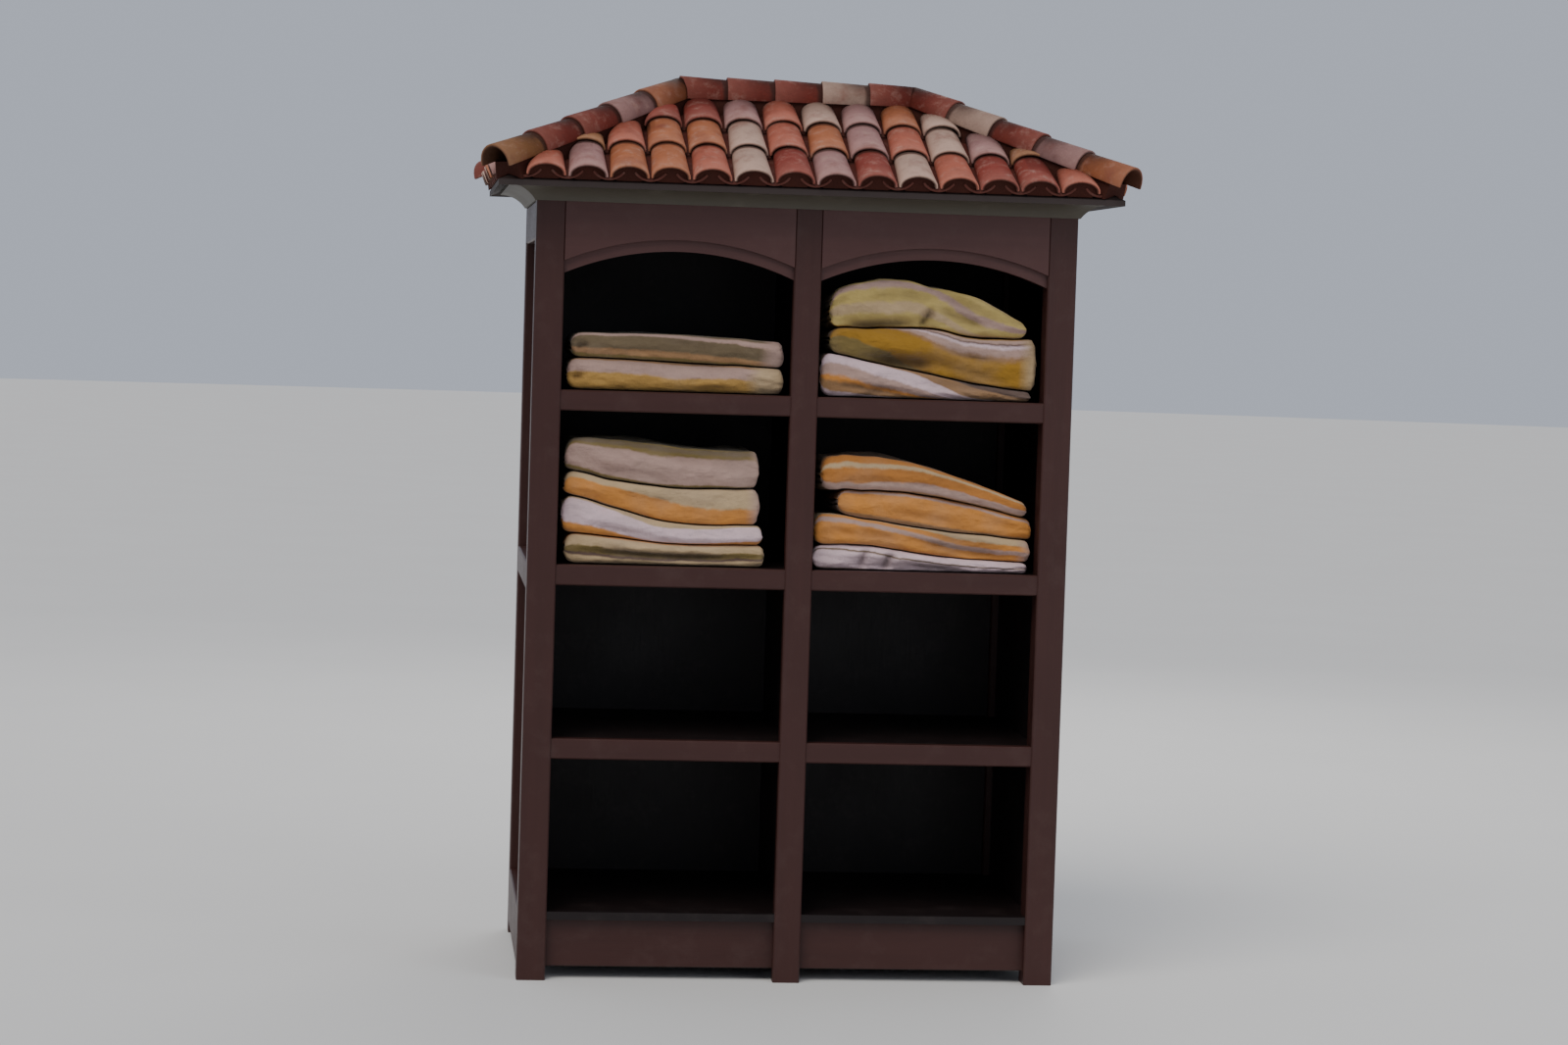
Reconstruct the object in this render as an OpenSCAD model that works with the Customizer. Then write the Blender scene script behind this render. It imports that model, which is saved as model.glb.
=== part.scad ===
// Beach towel hut: an open, two-bay shelf cabinet of recycled plastic lumber under
// a small hipped roof of barrel tiles. Millimetres, +Z up, the open front faces -Y,
// and the origin is on the ground under the middle of the cabinet.

/* [Cabinet] */
// Width of the cabinet over its corner posts
body_w = 1280; // [1160:10:1450]
// Depth of the cabinet over its corner posts
body_d = 700; // [640:10:800]
// Height of the cabinet, from the ground to the underside of the crown moulding
body_h = 1832; // [1820:4:2000]
// Side of each square corner post
post = 68; // [52:1:76]
// Width of the front and back centre stiles
stile_w = 64; // [50:1:80]
// Thickness of the stiles, heads and rails
board_t = 38; // [32:1:44]
// Thickness of the side, back, divider and ceiling sheets
panel_t = 12; // [9:1:14]
// Gap between the ground and the lowest rails, where only the feet reach down
toe_gap = 30; // [15:1:50]
// Width of the chamfer that eases the long edges of the posts, stiles and rails
edge_ease = 3; // [1:0.5:3.5]

/* [Arched heads] */
// Height of a head board at its ends, from the springing of its arch to its top
head_h = 137; // [120:1:160]
// Rise of each segmental arch above its springing
arch_rise = 55; // [30:1:70]
// Width of the stepped band that shows inside each arch
band_w = 27; // [15:1:35]
// How far the stepped band lies behind the face of its head
band_setback = 12; // [6:1:20]

/* [Shelves] */
// Thickness of each shelf
shelf_t = 19; // [15:1:25]
// Height of the top of the lowest shelf above the ground
shelf_first = 163; // [150:1:175]
// Height of the top row, from its shelf to the top of the cabinet
top_row_h = 439; // [420:1:460]
// Height of the front rail under each upper shelf
rail_h = 48; // [35:1:60]
// How far the shelf rails lie behind the face of the stiles
rail_setback = 4; // [1:1:10]
// How far the plinth rails lie behind the face of the stiles
plinth_setback = 24; // [15:1:35]
// Thickness of the plinth rails
plinth_t = 25; // [18:1:35]
// Width of the cleats under the shelves
cleat_w = 20; // [15:1:30]
// Height of the cleats under the shelves
cleat_h = 32; // [20:1:45]

/* [Side and back frames] */
// Height of the top rails of the sides and the back
top_rail_h = 90; // [60:1:120]
// Height of their middle rails
mid_rail_h = 64; // [50:1:90]
// Distance between two grooves of the side and back sheets
groove_pitch = 64; // [50:1:90]
// Width of each groove
groove_w = 6; // [3:0.5:9]

/* [Crown moulding] */
// Height of the crown moulding at its outer edge
crown_h = 42; // [34:1:60]
// How far the crown moulding projects from the cabinet
crown_out = 65; // [50:1:80]
// Seat of the crown moulding on top of the cabinet
crown_seat = 25; // [18:1:32]
// Height of the plain fillet along the top edge of the crown moulding
crown_fillet = 8; // [4:1:14]
// Depth of the hollow of the cove
cove_depth = 9; // [4:1:12]

/* [Roof] */
// Pitch of the roof in degrees
pitch_angle = 24; // [20:0.2:28]
// Thickness of the roof boarding
deck_t = 12; // [9:1:18]
// How far the roof boarding reaches past the cabinet
deck_over = 92; // [84:1:98]
// How far the crowns of the cover tiles reach past the cabinet
tile_over = 120; // [114:1:130]

/* [Tiles] */
// Distance between two rows of cover tiles
tile_pitch = 96; // [88:0.5:104]
// Thickness of the pan tiles between the covers
pan_t = 10; // [6:1:14]
// Outer radius of a cover tile
cover_r = 46; // [40:1:47]
// Wall of a cover tile
cover_wall = 9; // [6:1:12]
// Height of a cover tile's centre above the boarding
cover_lift = 2; // [0:0.5:5]

/* [Ridge and hip caps] */
// Outer radius of the ridge and hip caps
cap_r = 46; // [43:1:50]
// Width of the mortar bed under the caps, between the tile slopes
bed_w = 80; // [70:1:84]
// How far the cap centre lies below the line where the covers would meet
cap_sink = 14; // [10:0.5:16]
// How far the hip caps reach past the cabinet
cap_over = 135; // [128:1:150]
// Wall of the hip caps at their open lower ends
cap_wall = 9; // [6:1:14]
// Depth of the hollow at the lower end of each hip cap
cap_hollow = 60; // [30:5:90]

/* [Towels] */
// Thickness of one folded towel
towel_t = 72; // [60:1:74]
// Length of the longest folded towel along its shelf
towel_len = 515; // [465:1:520]
// Depth of a folded towel, from front to back
towel_depth = 340; // [280:5:400]
// How far the towels lie behind the face of the cabinet
towel_inset = 26; // [14:1:60]
// How far each towel sinks into the one below it
towel_press = 3; // [1:0.5:6]
// Rise of the crumpled top of the upper right pile
towel_crown = 85; // [40:1:90]

/* [Hidden] */

$fn = 64;

plum = "#4a3236";
crown_grey = "#5c5a4e";
ply = "#8a6d4b";
clay = "#b4563a";
clay_dark = "#8f4434";
towel_gold = "#d9a441";
towel_tan = "#b59a63";

eps = 0.01;
half_w = body_w / 2;
half_d = body_d / 2;
bay_w = (body_w - 2 * post - stile_w) / 2;
bay_x = stile_w / 2 + bay_w / 2;
side_w = body_d - 2 * post;
inner_x = half_w - board_t - panel_t;
inner_y = half_d - board_t - panel_t;
spring_z = body_h - head_h;
top_shelf = 3;

// Height of the top of shelf number i, counted from the bottom one as 0
function shelf_z(i) = shelf_first + i * (body_h - top_row_h - shelf_first) / top_shelf;

slope = tan(pitch_angle);
hip_angle = atan(slope / sqrt(2));
ridge_half = half_w - half_d;
crown_top = body_h + crown_h;
under_apex = crown_top + (half_d + crown_out) * slope;
deck_apex = under_apex + deck_t / cos(pitch_angle);
cover_top = cover_lift + cover_r;
cover_apex = deck_apex + cover_top / cos(pitch_angle);
tile_run = half_d + tile_over;
deck_run = half_d + deck_over;
hip_inset = bed_w / sqrt(2);
cap_gap = 2;
bed_bite = 4;
roof_reach = body_w + body_d;

// The towels of each pile, from the bottom up: the length and the shift from the
// middle of the bay as shares of towel_len, the thickness as a share of towel_t,
// and the tilt in degrees
pile_upper_left = [[1.02, 0, 1.05, 0], [1, 0.01, 0.85, 0]];
pile_upper_right = [[0.99, -0.01, 0.95, 0], [0.98, 0.01, 1, 0], [0.93, 0, 1, 0]];
pile_middle_left = [[0.97, 0, 1.05, 0], [0.95, -0.01, 0.95, 0], [0.97, 0.01, 1, 0], [0.94, 0, 1.2, 0]];
pile_middle_right = [[1.02, 0, 1.25, 0], [0.98, 0.01, 1.1, -2], [0.97, 0, 1.15, -7]];

// Height of the underside of towel number k in a pile, above its shelf
function pile_base(pile, k) =
    k == 0 ? 0 : pile_base(pile, k - 1) + pile[k - 1][2] * towel_t - towel_press;

// Puts its children on the right for s = 1, and mirrored on the left for s = -1
module on_side(s) {
    mirror([s < 0 ? 1 : 0, 0, 0]) children();
}

// Puts its children at the back for e = 1, and mirrored at the front for e = -1
module at_end(e) {
    mirror([0, e < 0 ? 1 : 0, 0]) children();
}

// Stands a flat outline upright across the front, from depth y to depth y + t
module upright(y, t) {
    translate([0, y + t, 0]) rotate([90, 0, 0]) linear_extrude(t) children();
}

// Section of a board w wide and h high, with its four long edges eased
module eased_section(w, h) {
    polygon([
        [edge_ease, 0], [w - edge_ease, 0], [w, edge_ease], [w, h - edge_ease],
        [w - edge_ease, h], [edge_ease, h], [0, h - edge_ease], [0, edge_ease]
    ]);
}

// Posts and stiles

module corner_post(s, e) {
    color(plum) on_side(s) at_end(e)
        translate([half_w - post, half_d - post, 0]) linear_extrude(body_h) eased_section(post, post);
}

module centre_stile(e) {
    color(plum) at_end(e)
        translate([-stile_w / 2, half_d - board_t, 0])
            linear_extrude(body_h) eased_section(stile_w, board_t);
}

// Arched heads: the face of the board has a plain segmental arch, and its rear
// part is cut to a closer one, which leaves the stepped band

module arch_layer(drop) {
    half_chord = bay_w / 2;
    arch_r = (half_chord * half_chord + arch_rise * arch_rise) / (2 * arch_rise);
    centre_z = spring_z + arch_rise - arch_r;
    low_z = centre_z + sqrt(pow(arch_r - drop, 2) - half_chord * half_chord);
    difference() {
        translate([-half_chord, low_z]) square([bay_w, body_h - low_z]);
        translate([0, centre_z]) circle(arch_r - drop, $fn = 360);
    }
}

module arched_head(s) {
    color(plum) translate([s * bay_x, -half_d, 0]) {
        upright(0, band_setback + eps) arch_layer(0);
        upright(band_setback, board_t - band_setback) arch_layer(band_w);
    }
}

// Rails

// A board t thick across one bay, from height z0 to z1
module bay_board(s, y, t, z0, z1) {
    translate([s * bay_x - bay_w / 2, y, z0]) rotate([90, 0, 90])
        linear_extrude(bay_w) eased_section(t, z1 - z0);
}

module shelf_rails(i) {
    color(plum) for (s = [-1, 1])
        bay_board(s, rail_setback - half_d, board_t - rail_setback, shelf_z(i) - rail_h, shelf_z(i));
}

module plinth_rails() {
    color(plum) for (s = [-1, 1])
        bay_board(s, plinth_setback - half_d, plinth_t, toe_gap, shelf_first - shelf_t);
}

// Lower and upper edge of each rail of the side and back frames
mid_rail_z = shelf_z(2);
frame_levels = [
    [toe_gap, shelf_first],
    [mid_rail_z - mid_rail_h, mid_rail_z],
    [body_h - top_rail_h, body_h]
];

module side_rails(s) {
    color(plum) on_side(s) for (z = frame_levels)
        translate([half_w - board_t, side_w / 2, z[0]]) rotate([90, 0, 0])
            linear_extrude(side_w) eased_section(board_t, z[1] - z[0]);
}

module back_rails() {
    color(plum) for (s = [-1, 1], z = frame_levels)
        bay_board(s, half_d - board_t, board_t, z[0], z[1]);
}

// Sheets, the side and back ones with a vee groove at every board joint

// An upright sheet of width w from depth 0 back to -panel_t, grooved on its face
module grooved_sheet(w) {
    grooves = floor((w / 2 - groove_w) / groove_pitch);
    translate([0, 0, toe_gap]) linear_extrude(body_h - toe_gap) difference() {
        translate([-w / 2, -panel_t]) square([w, panel_t]);
        for (i = [-grooves : grooves])
            translate([i * groove_pitch, 0])
                polygon([[-groove_w / 2, eps], [groove_w / 2, eps], [0, -groove_w / 2]]);
    }
}

module side_panel(s) {
    color(plum) on_side(s) translate([half_w - board_t, 0, 0]) rotate([0, 0, -90]) grooved_sheet(side_w);
}

module back_panel() {
    color(plum) translate([0, half_d - board_t, 0]) grooved_sheet(body_w - 2 * post);
}

module centre_divider() {
    color(plum) translate([-panel_t / 2, board_t - half_d, toe_gap])
        cube([panel_t, half_d - board_t + inner_y, body_h - toe_gap]);
}

module ceiling_panel() {
    color(plum) translate([crown_seat - half_w, crown_seat - half_d, body_h])
        cube([body_w - 2 * crown_seat, body_d - 2 * crown_seat, panel_t]);
}

// Shelves, notched round the corner posts, the bottom one carried out over the plinth

module shelf_outline(over_plinth) {
    difference() {
        union() {
            translate([panel_t / 2, board_t - half_d])
                square([inner_x - panel_t / 2, half_d - board_t + inner_y]);
            if (over_plinth)
                translate([stile_w / 2, rail_setback - half_d])
                    square([bay_w, board_t - rail_setback + eps]);
        }
        for (e = [-1, 1]) at_end(e) translate([half_w - post, half_d - post]) square(post);
    }
}

module shelf(s, i) {
    color(plum) on_side(s) translate([0, 0, shelf_z(i) - shelf_t])
        linear_extrude(shelf_t) shelf_outline(i == 0);
}

// Cleats that carry the shelves, along the divider and along the side sheets
module shelf_cleats(s) {
    color(plum) on_side(s) for (i = [0 : top_shelf])
        translate([0, 0, shelf_z(i) - shelf_t - cleat_h]) {
            translate([panel_t / 2, board_t - half_d, 0])
                cube([cleat_w, half_d - board_t + inner_y, cleat_h]);
            translate([inner_x - cleat_w, -side_w / 2, 0]) cube([cleat_w, side_w, cleat_h]);
        }
}

// Crown moulding: a cove that carries the edge of the roof, in four mitred lengths

module crown_profile() {
    foot = [crown_fillet / 2, 0];
    lip = [crown_out, crown_h - crown_fillet];
    chord = lip - foot;
    cove_r = (pow(norm(chord) / 2, 2) + cove_depth * cove_depth) / (2 * cove_depth);
    outward = [chord[1], -chord[0]] / norm(chord);
    difference() {
        polygon([
            [-crown_seat, 0], foot, lip, [crown_out, crown_h],
            [-crown_seat, crown_h + (crown_out + crown_seat) * slope]
        ]);
        translate((foot + lip) / 2 + (cove_r - cove_depth) * outward) circle(cove_r, $fn = 180);
    }
}

// The length of moulding along the front of a cabinet of width w and half depth d
module crown_length(w, d) {
    tip = w / 2 + crown_out;
    run = d + crown_out;
    inset = crown_out + crown_seat;
    intersection() {
        translate([-tip, -d, body_h]) rotate([90, 0, 90])
            linear_extrude(2 * tip) mirror([1, 0]) crown_profile();
        translate([0, 0, body_h - eps]) linear_extrude(body_h)
            polygon([[-tip, -run], [tip, -run], [tip - inset, inset - run], [inset - tip, inset - run]]);
    }
}

module crown_across(e) {
    color(crown_grey) at_end(-e) crown_length(body_w, half_d);
}

module crown_along(s) {
    color(crown_grey) rotate([0, 0, s * 90]) crown_length(body_d, half_w);
}

// Roof boarding: four flat panels that meet along the hips and the ridge

// A panel of the given plan outline that falls towards -Y from a ridge line at y = 0
module deck_panel() {
    color(ply) intersection() {
        translate([0, 0, under_apex]) rotate([pitch_angle, 0, 0])
            translate([-roof_reach, -roof_reach, 0]) cube([2 * roof_reach, roof_reach + deck_t, deck_t]);
        linear_extrude(2 * body_h) children();
    }
}

module long_deck(e) {
    at_end(-e) deck_panel() polygon([
        [-ridge_half, 0], [ridge_half, 0],
        [ridge_half + deck_run, -deck_run], [-ridge_half - deck_run, -deck_run]
    ]);
}

module end_deck(s) {
    rotate([0, 0, s * 90]) translate([0, -ridge_half, 0])
        deck_panel() polygon([[0, 0], [deck_run, -deck_run], [-deck_run, -deck_run]]);
}

// Tile slopes: pans with rows of barrel covers, cut back along the hips and the ridge

// Section across a slope whose eave is 2 * eave_half long between the roof corners
module tile_profile(eave_half) {
    rows = floor((eave_half - hip_inset - cover_r) / tile_pitch + 0.5);
    translate([-eave_half, 0]) square([2 * eave_half, pan_t]);
    for (i = [-rows : rows - 1])
        translate([(i + 0.5) * tile_pitch, 0]) intersection() {
            translate([0, cover_lift]) difference() {
                circle(cover_r);
                circle(cover_r - cover_wall);
            }
            translate([-cover_r, pan_t / 2]) square([2 * cover_r, cover_top]);
        }
}

// A slope that falls towards -Y from a ridge line along X at y = 0
module tile_slope(eave_half) {
    translate([0, 0, deck_apex]) rotate([90 + pitch_angle, 0, 0])
        linear_extrude((tile_run - cover_top * sin(pitch_angle)) / cos(pitch_angle))
            tile_profile(eave_half);
}

module long_tiles(e) {
    top_half = ridge_half + bed_w / 2 - hip_inset;
    far_half = ridge_half + roof_reach - hip_inset;
    color(clay) at_end(-e) intersection() {
        tile_slope(ridge_half + tile_run);
        linear_extrude(2 * body_h)
            polygon([
                [-top_half, -bed_w / 2], [top_half, -bed_w / 2],
                [far_half, -roof_reach], [-far_half, -roof_reach]
            ]);
    }
}

module end_tiles(s) {
    far_half = roof_reach - hip_inset;
    color(clay) rotate([0, 0, s * 90]) translate([0, -ridge_half, 0]) intersection() {
        tile_slope(tile_run);
        linear_extrude(2 * body_h)
            polygon([[0, -hip_inset], [far_half, -roof_reach], [-far_half, -roof_reach]]);
    }
}

// Ridge and hip caps: round caps on a bed of mortar between the slopes

// All that lies below the top of the roof boarding
module below_roof() {
    drop = roof_reach * slope;
    intersection() {
        rotate([90, 0, 90]) linear_extrude(2 * roof_reach, center = true)
            polygon([
                [0, deck_apex], [roof_reach, deck_apex - drop], [roof_reach, 0],
                [-roof_reach, 0], [-roof_reach, deck_apex - drop]
            ]);
        rotate([90, 0, 0]) linear_extrude(2 * roof_reach, center = true)
            polygon([
                [ridge_half, deck_apex], [ridge_half + roof_reach, deck_apex - drop],
                [ridge_half + roof_reach, 0], [-ridge_half - roof_reach, 0],
                [-ridge_half - roof_reach, deck_apex - drop], [-ridge_half, deck_apex]
            ]);
    }
}

// A cap and its bed along +X, above a roof that falls by fall to each side of it
module cap_run(cap_len, bed_len, fall) {
    seat = cap_gap - bed_w / 2 * fall;
    intersection() {
        translate([0, 0, -cap_sink]) rotate([0, 90, 0]) cylinder(r = cap_r, h = cap_len);
        translate([0, -cap_r, seat]) cube([cap_len, 2 * cap_r, 2 * cap_r]);
    }
    translate([0, -bed_w / 2, seat + bed_bite - 3 * cap_r]) cube([bed_len, bed_w, 3 * cap_r]);
}

module ridge_cap() {
    side = 2 * cap_r;
    mitre = side * tan(22.5);
    color(clay_dark) difference() {
        intersection() {
            translate([-ridge_half, 0, cover_apex]) cap_run(2 * ridge_half, 2 * ridge_half, slope);
            linear_extrude(2 * body_h)
                polygon([
                    [ridge_half, 0], [ridge_half - mitre, side], [mitre - ridge_half, side],
                    [-ridge_half, 0], [mitre - ridge_half, -side], [ridge_half - mitre, -side]
                ]);
        }
        below_roof();
    }
}

// The cap of the hip that falls towards +X and +Y
module hip_cap() {
    cap_len = ((half_d + cap_over) * sqrt(2) - cap_r) / cos(hip_angle);
    mitre = roof_reach * tan(22.5);
    difference() {
        intersection() {
            translate([ridge_half, 0, cover_apex]) rotate([0, hip_angle, 45]) difference() {
                translate([-cap_r, 0, 0]) cap_run(cap_len + cap_r, cap_len + cap_r - cap_hollow, sin(hip_angle));
                translate([cap_len - cap_hollow, 0, -cap_sink]) rotate([0, 90, 0])
                    cylinder(r = cap_r - cap_wall, h = cap_hollow + eps);
            }
            linear_extrude(2 * body_h)
                polygon([
                    [ridge_half, 0], [ridge_half + roof_reach, 0],
                    [ridge_half + roof_reach, roof_reach], [ridge_half - mitre, roof_reach]
                ]);
        }
        below_roof();
    }
}

module hip_caps(e) {
    color(clay_dark) for (s = [-1, 1]) on_side(s) at_end(e) hip_cap();
}

// Towels: each pile is one soft block with a rounded nose at both ends of every towel

module towel_outline(len, t) {
    translate([-(len - t) / 2, 0]) square([len - t, t]);
    for (s = [-1, 1]) translate([s * (len - t) / 2, t / 2]) circle(t / 2);
}

module towel_pile(s, i, pile, tint) {
    color(tint) translate([s * bay_x, -half_d, shelf_z(i)]) upright(towel_inset, towel_depth)
        for (k = [0 : len(pile) - 1]) {
            t = pile[k][2] * towel_t;
            translate([pile[k][1] * towel_len, pile_base(pile, k) + t / 2]) rotate(pile[k][3])
                translate([0, -t / 2]) towel_outline(pile[k][0] * towel_len, t);
        }
}

// The upper right pile has a crumpled towel on top, whose crown stays behind the head
module crowned_pile() {
    top = len(pile_upper_right) - 1;
    chord = pile_upper_right[top][0] * towel_len - towel_t;
    crown_r = (chord * chord / 4 + towel_crown * towel_crown) / (2 * towel_crown);
    crown_base = pile_base(pile_upper_right, top + 1);
    towel_pile(1, top_shelf, pile_upper_right, towel_gold);
    color(towel_gold) translate([bay_x, -half_d, shelf_z(top_shelf) + crown_base])
        upright(board_t + towel_press, towel_inset + towel_depth - board_t - towel_press)
            intersection() {
                translate([0, towel_crown - crown_r]) circle(crown_r);
                translate([-chord / 2, -towel_press]) square([chord, towel_crown + towel_press]);
            }
}

corner_post(-1, -1);  // front_post_left
corner_post(1, -1);  // front_post_right
corner_post(-1, 1);  // back_post_left
corner_post(1, 1);  // back_post_right
centre_stile(-1);  // front_centre_stile
centre_stile(1);  // back_centre_stile
arched_head(-1);  // arched_head_left
arched_head(1);  // arched_head_right
shelf_rails(1);  // shelf_rails_lower
shelf_rails(2);  // shelf_rails_middle
shelf_rails(3);  // shelf_rails_upper
plinth_rails();
side_rails(-1);  // side_rails_left
side_rails(1);  // side_rails_right
side_panel(-1);  // side_panel_left
side_panel(1);  // side_panel_right
back_rails();
back_panel();
centre_divider();
ceiling_panel();
shelf_cleats(-1);  // shelf_cleats_left
shelf_cleats(1);  // shelf_cleats_right
shelf(-1, 0);  // shelf_bottom_left
shelf(1, 0);  // shelf_bottom_right
shelf(-1, 1);  // shelf_lower_left
shelf(1, 1);  // shelf_lower_right
shelf(-1, 2);  // shelf_middle_left
shelf(1, 2);  // shelf_middle_right
shelf(-1, 3);  // shelf_upper_left
shelf(1, 3);  // shelf_upper_right
crown_across(-1);  // crown_front
crown_across(1);  // crown_back
crown_along(-1);  // crown_left
crown_along(1);  // crown_right
long_deck(-1);  // deck_front
long_deck(1);  // deck_back
end_deck(-1);  // deck_left
end_deck(1);  // deck_right
long_tiles(-1);  // tiles_front
long_tiles(1);  // tiles_back
end_tiles(-1);  // tiles_left
end_tiles(1);  // tiles_right
ridge_cap();
hip_caps(-1);  // hip_caps_front
hip_caps(1);  // hip_caps_back
towel_pile(-1, 3, pile_upper_left, towel_gold);  // towels_upper_left
crowned_pile();  // towels_upper_right
towel_pile(-1, 2, pile_middle_left, towel_tan);  // towels_middle_left
towel_pile(1, 2, pile_middle_right, towel_tan);  // towels_middle_right
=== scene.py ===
"""Finishes, roof tiles and folded towels of a small tile-roofed towel hut. Lengths are in metres."""

import math
import random
from typing import NamedTuple

import bmesh
import bpy
from mathutils import Matrix, Vector, noise


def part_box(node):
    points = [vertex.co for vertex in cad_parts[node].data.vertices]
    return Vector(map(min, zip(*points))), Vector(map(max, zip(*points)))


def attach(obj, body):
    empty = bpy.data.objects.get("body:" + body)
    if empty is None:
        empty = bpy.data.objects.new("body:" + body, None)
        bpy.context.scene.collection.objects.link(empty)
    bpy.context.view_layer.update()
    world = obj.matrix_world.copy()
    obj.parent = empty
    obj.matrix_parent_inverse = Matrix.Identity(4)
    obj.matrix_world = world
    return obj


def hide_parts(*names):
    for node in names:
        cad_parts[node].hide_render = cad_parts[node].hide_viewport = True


bl_info = {
    "name": "Towel Hut",
    "version": (1, 0, 0),
    "blender": (4, 5, 0),
    "location": "View3D > Sidebar > Towel Hut",
    "description": "Tiles, caps, towels and finishes for a tile-roofed towel hut",
    "category": "Add Mesh",
}

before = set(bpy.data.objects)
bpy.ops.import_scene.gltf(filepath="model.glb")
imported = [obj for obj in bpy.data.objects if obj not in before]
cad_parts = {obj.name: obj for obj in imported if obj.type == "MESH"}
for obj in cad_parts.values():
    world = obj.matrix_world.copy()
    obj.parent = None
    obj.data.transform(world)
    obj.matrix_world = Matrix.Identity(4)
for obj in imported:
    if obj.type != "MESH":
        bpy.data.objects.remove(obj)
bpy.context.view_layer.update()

# The hut's body

BODY = "root"
LEVELS = ("bottom", "lower", "middle", "upper")
SIDES = ("left", "right")
FRONT_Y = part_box("front_centre_stile")[0].y
HALF_SHEET = 0.006
SHEET_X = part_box("side_panel_right")[1].x - HALF_SHEET
SHEET_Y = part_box("back_panel")[1].y - HALF_SHEET
BAY_X = (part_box("front_centre_stile")[1].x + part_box("front_post_right")[0].x) / 2

# The roof, as the boarding and the ridge give it

DECK_THICKNESS = 0.012
RIDGE_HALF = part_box("ridge_cap")[1].x
DECK_LOW, DECK_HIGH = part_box("deck_front")
DECK_APEX = DECK_HIGH.z
COVER_TOP = 0.048
SEAT = 0.019
BED_HALF = 0.040
HIP_INSET = BED_HALF * math.sqrt(2)
TILE_PITCH = 0.096
TILE_REACH = -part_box("tiles_front")[0].y
LEAST_COVER = 0.020
CAP_RADIUS = 0.046
CAP_SINK = 0.014


def roof_pitch(first_guess=math.radians(20), rounds=30):
    """Angle of the slopes, closed in on from the box of the front boarding."""
    run, rise = -DECK_LOW.y, DECK_HIGH.z - DECK_LOW.z
    angle = first_guess
    for _ in range(rounds):
        angle = math.atan2(rise - DECK_THICKNESS / math.cos(angle), run)
    return angle


PITCH = roof_pitch()
HIP_FALL = math.atan(math.tan(PITCH) / math.sqrt(2))
SLOPE_LENGTH = (TILE_REACH - COVER_TOP * math.sin(PITCH)) / math.cos(PITCH)
COVER_APEX = DECK_APEX + COVER_TOP / math.cos(PITCH)


# Selecting and editing

def clear_selection():
    """Leaves nothing selected, in object mode."""
    if bpy.context.mode != "OBJECT":
        bpy.ops.object.mode_set(mode="OBJECT")
    bpy.ops.object.select_all(action="DESELECT")


def activate(*objects):
    clear_selection()
    for obj in objects:
        obj.select_set(True)
    bpy.context.view_layer.objects.active = objects[0]


def edit(obj):
    """Opens obj for editing with all of it selected."""
    activate(obj)
    bpy.ops.object.mode_set(mode="EDIT")
    bpy.ops.mesh.select_mode(type="VERT")
    bpy.ops.mesh.select_all(action="SELECT")


def face_outwards():
    """Turns the faces of the edited mesh outwards and ends the editing."""
    bpy.ops.mesh.select_all(action="SELECT")
    bpy.ops.mesh.normals_make_consistent(inside=False)
    clear_selection()


def tube(sides, radius, length, height=0.0, ends="NOTHING"):
    """A cylinder along Y from y = 0, its axis at the height, open for editing."""
    bpy.ops.mesh.primitive_cylinder_add(vertices=sides, radius=radius, depth=length, end_fill_type=ends,
                                        location=(0, length / 2, height), rotation=(math.pi / 2, 0, 0))
    made = bpy.context.active_object
    settle(made)
    edit(made)
    return made


def pick(obj, test):
    """Selects the vertices of the edited mesh whose place passes the test."""
    mesh = bmesh.from_edit_mesh(obj.data)
    for part in (*mesh.faces, *mesh.edges, *mesh.verts):
        part.select = False
    for vert in mesh.verts:
        vert.select = bool(test(vert.co))
    mesh.select_flush_mode()
    bmesh.update_edit_mesh(obj.data)


def modify(obj, kind, **settings):
    """Adds a modifier and applies it."""
    activate(obj)
    modifier = obj.modifiers.new(kind.title(), kind)
    for name, value in settings.items():
        setattr(modifier, name, value)
    bpy.ops.object.modifier_apply(modifier=modifier.name)


def settle(obj):
    """Moves the object's place, turn and size into its mesh."""
    activate(obj)
    bpy.ops.object.transform_apply(location=True, rotation=True, scale=True)


def smooth(obj, degrees=38):
    activate(obj)
    bpy.ops.object.shade_smooth_by_angle(angle=math.radians(degrees))


def copied(obj, matrix):
    """A copy of obj with its own mesh, placed by the matrix."""
    twin = obj.copy()
    twin.data = obj.data.copy()
    twin.matrix_world = matrix
    bpy.context.collection.objects.link(twin)
    return twin


def write(obj, name, values):
    """Writes one number for each vertex as a point attribute."""
    layer = obj.data.attributes.get(name) or obj.data.attributes.new(name, "FLOAT", "POINT")
    layer.data.foreach_set("value", values)


def mark(obj, **rules):
    """Writes point attributes, each by a rule that takes the place of a vertex."""
    for name, rule in rules.items():
        write(obj, name, [rule(vert.co) for vert in obj.data.vertices])


def joined(parts, name):
    activate(*parts)
    bpy.ops.object.join()
    piece = bpy.context.view_layer.objects.active
    settle(piece)
    piece.name = piece.data.name = name
    return piece


def cut(obj, point, outward):
    """Cuts away what lies beyond a plane and closes the cut."""
    edit(obj)
    bpy.ops.mesh.bisect(plane_co=point, plane_no=outward, use_fill=True, clear_outer=True)
    clear_selection()


def discard(obj):
    mesh = obj.data
    bpy.data.objects.remove(obj)
    bpy.data.meshes.remove(mesh)


def turn_z(degrees):
    return Matrix.Rotation(math.radians(degrees), 4, "Z")


def fit(piece, finish, node):
    """Gives a piece its finish and puts it in the place of a CAD node."""
    piece.data.materials.clear()
    piece.data.materials.append(finish)
    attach(piece, BODY)
    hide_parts(node)


# Shader maths

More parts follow.
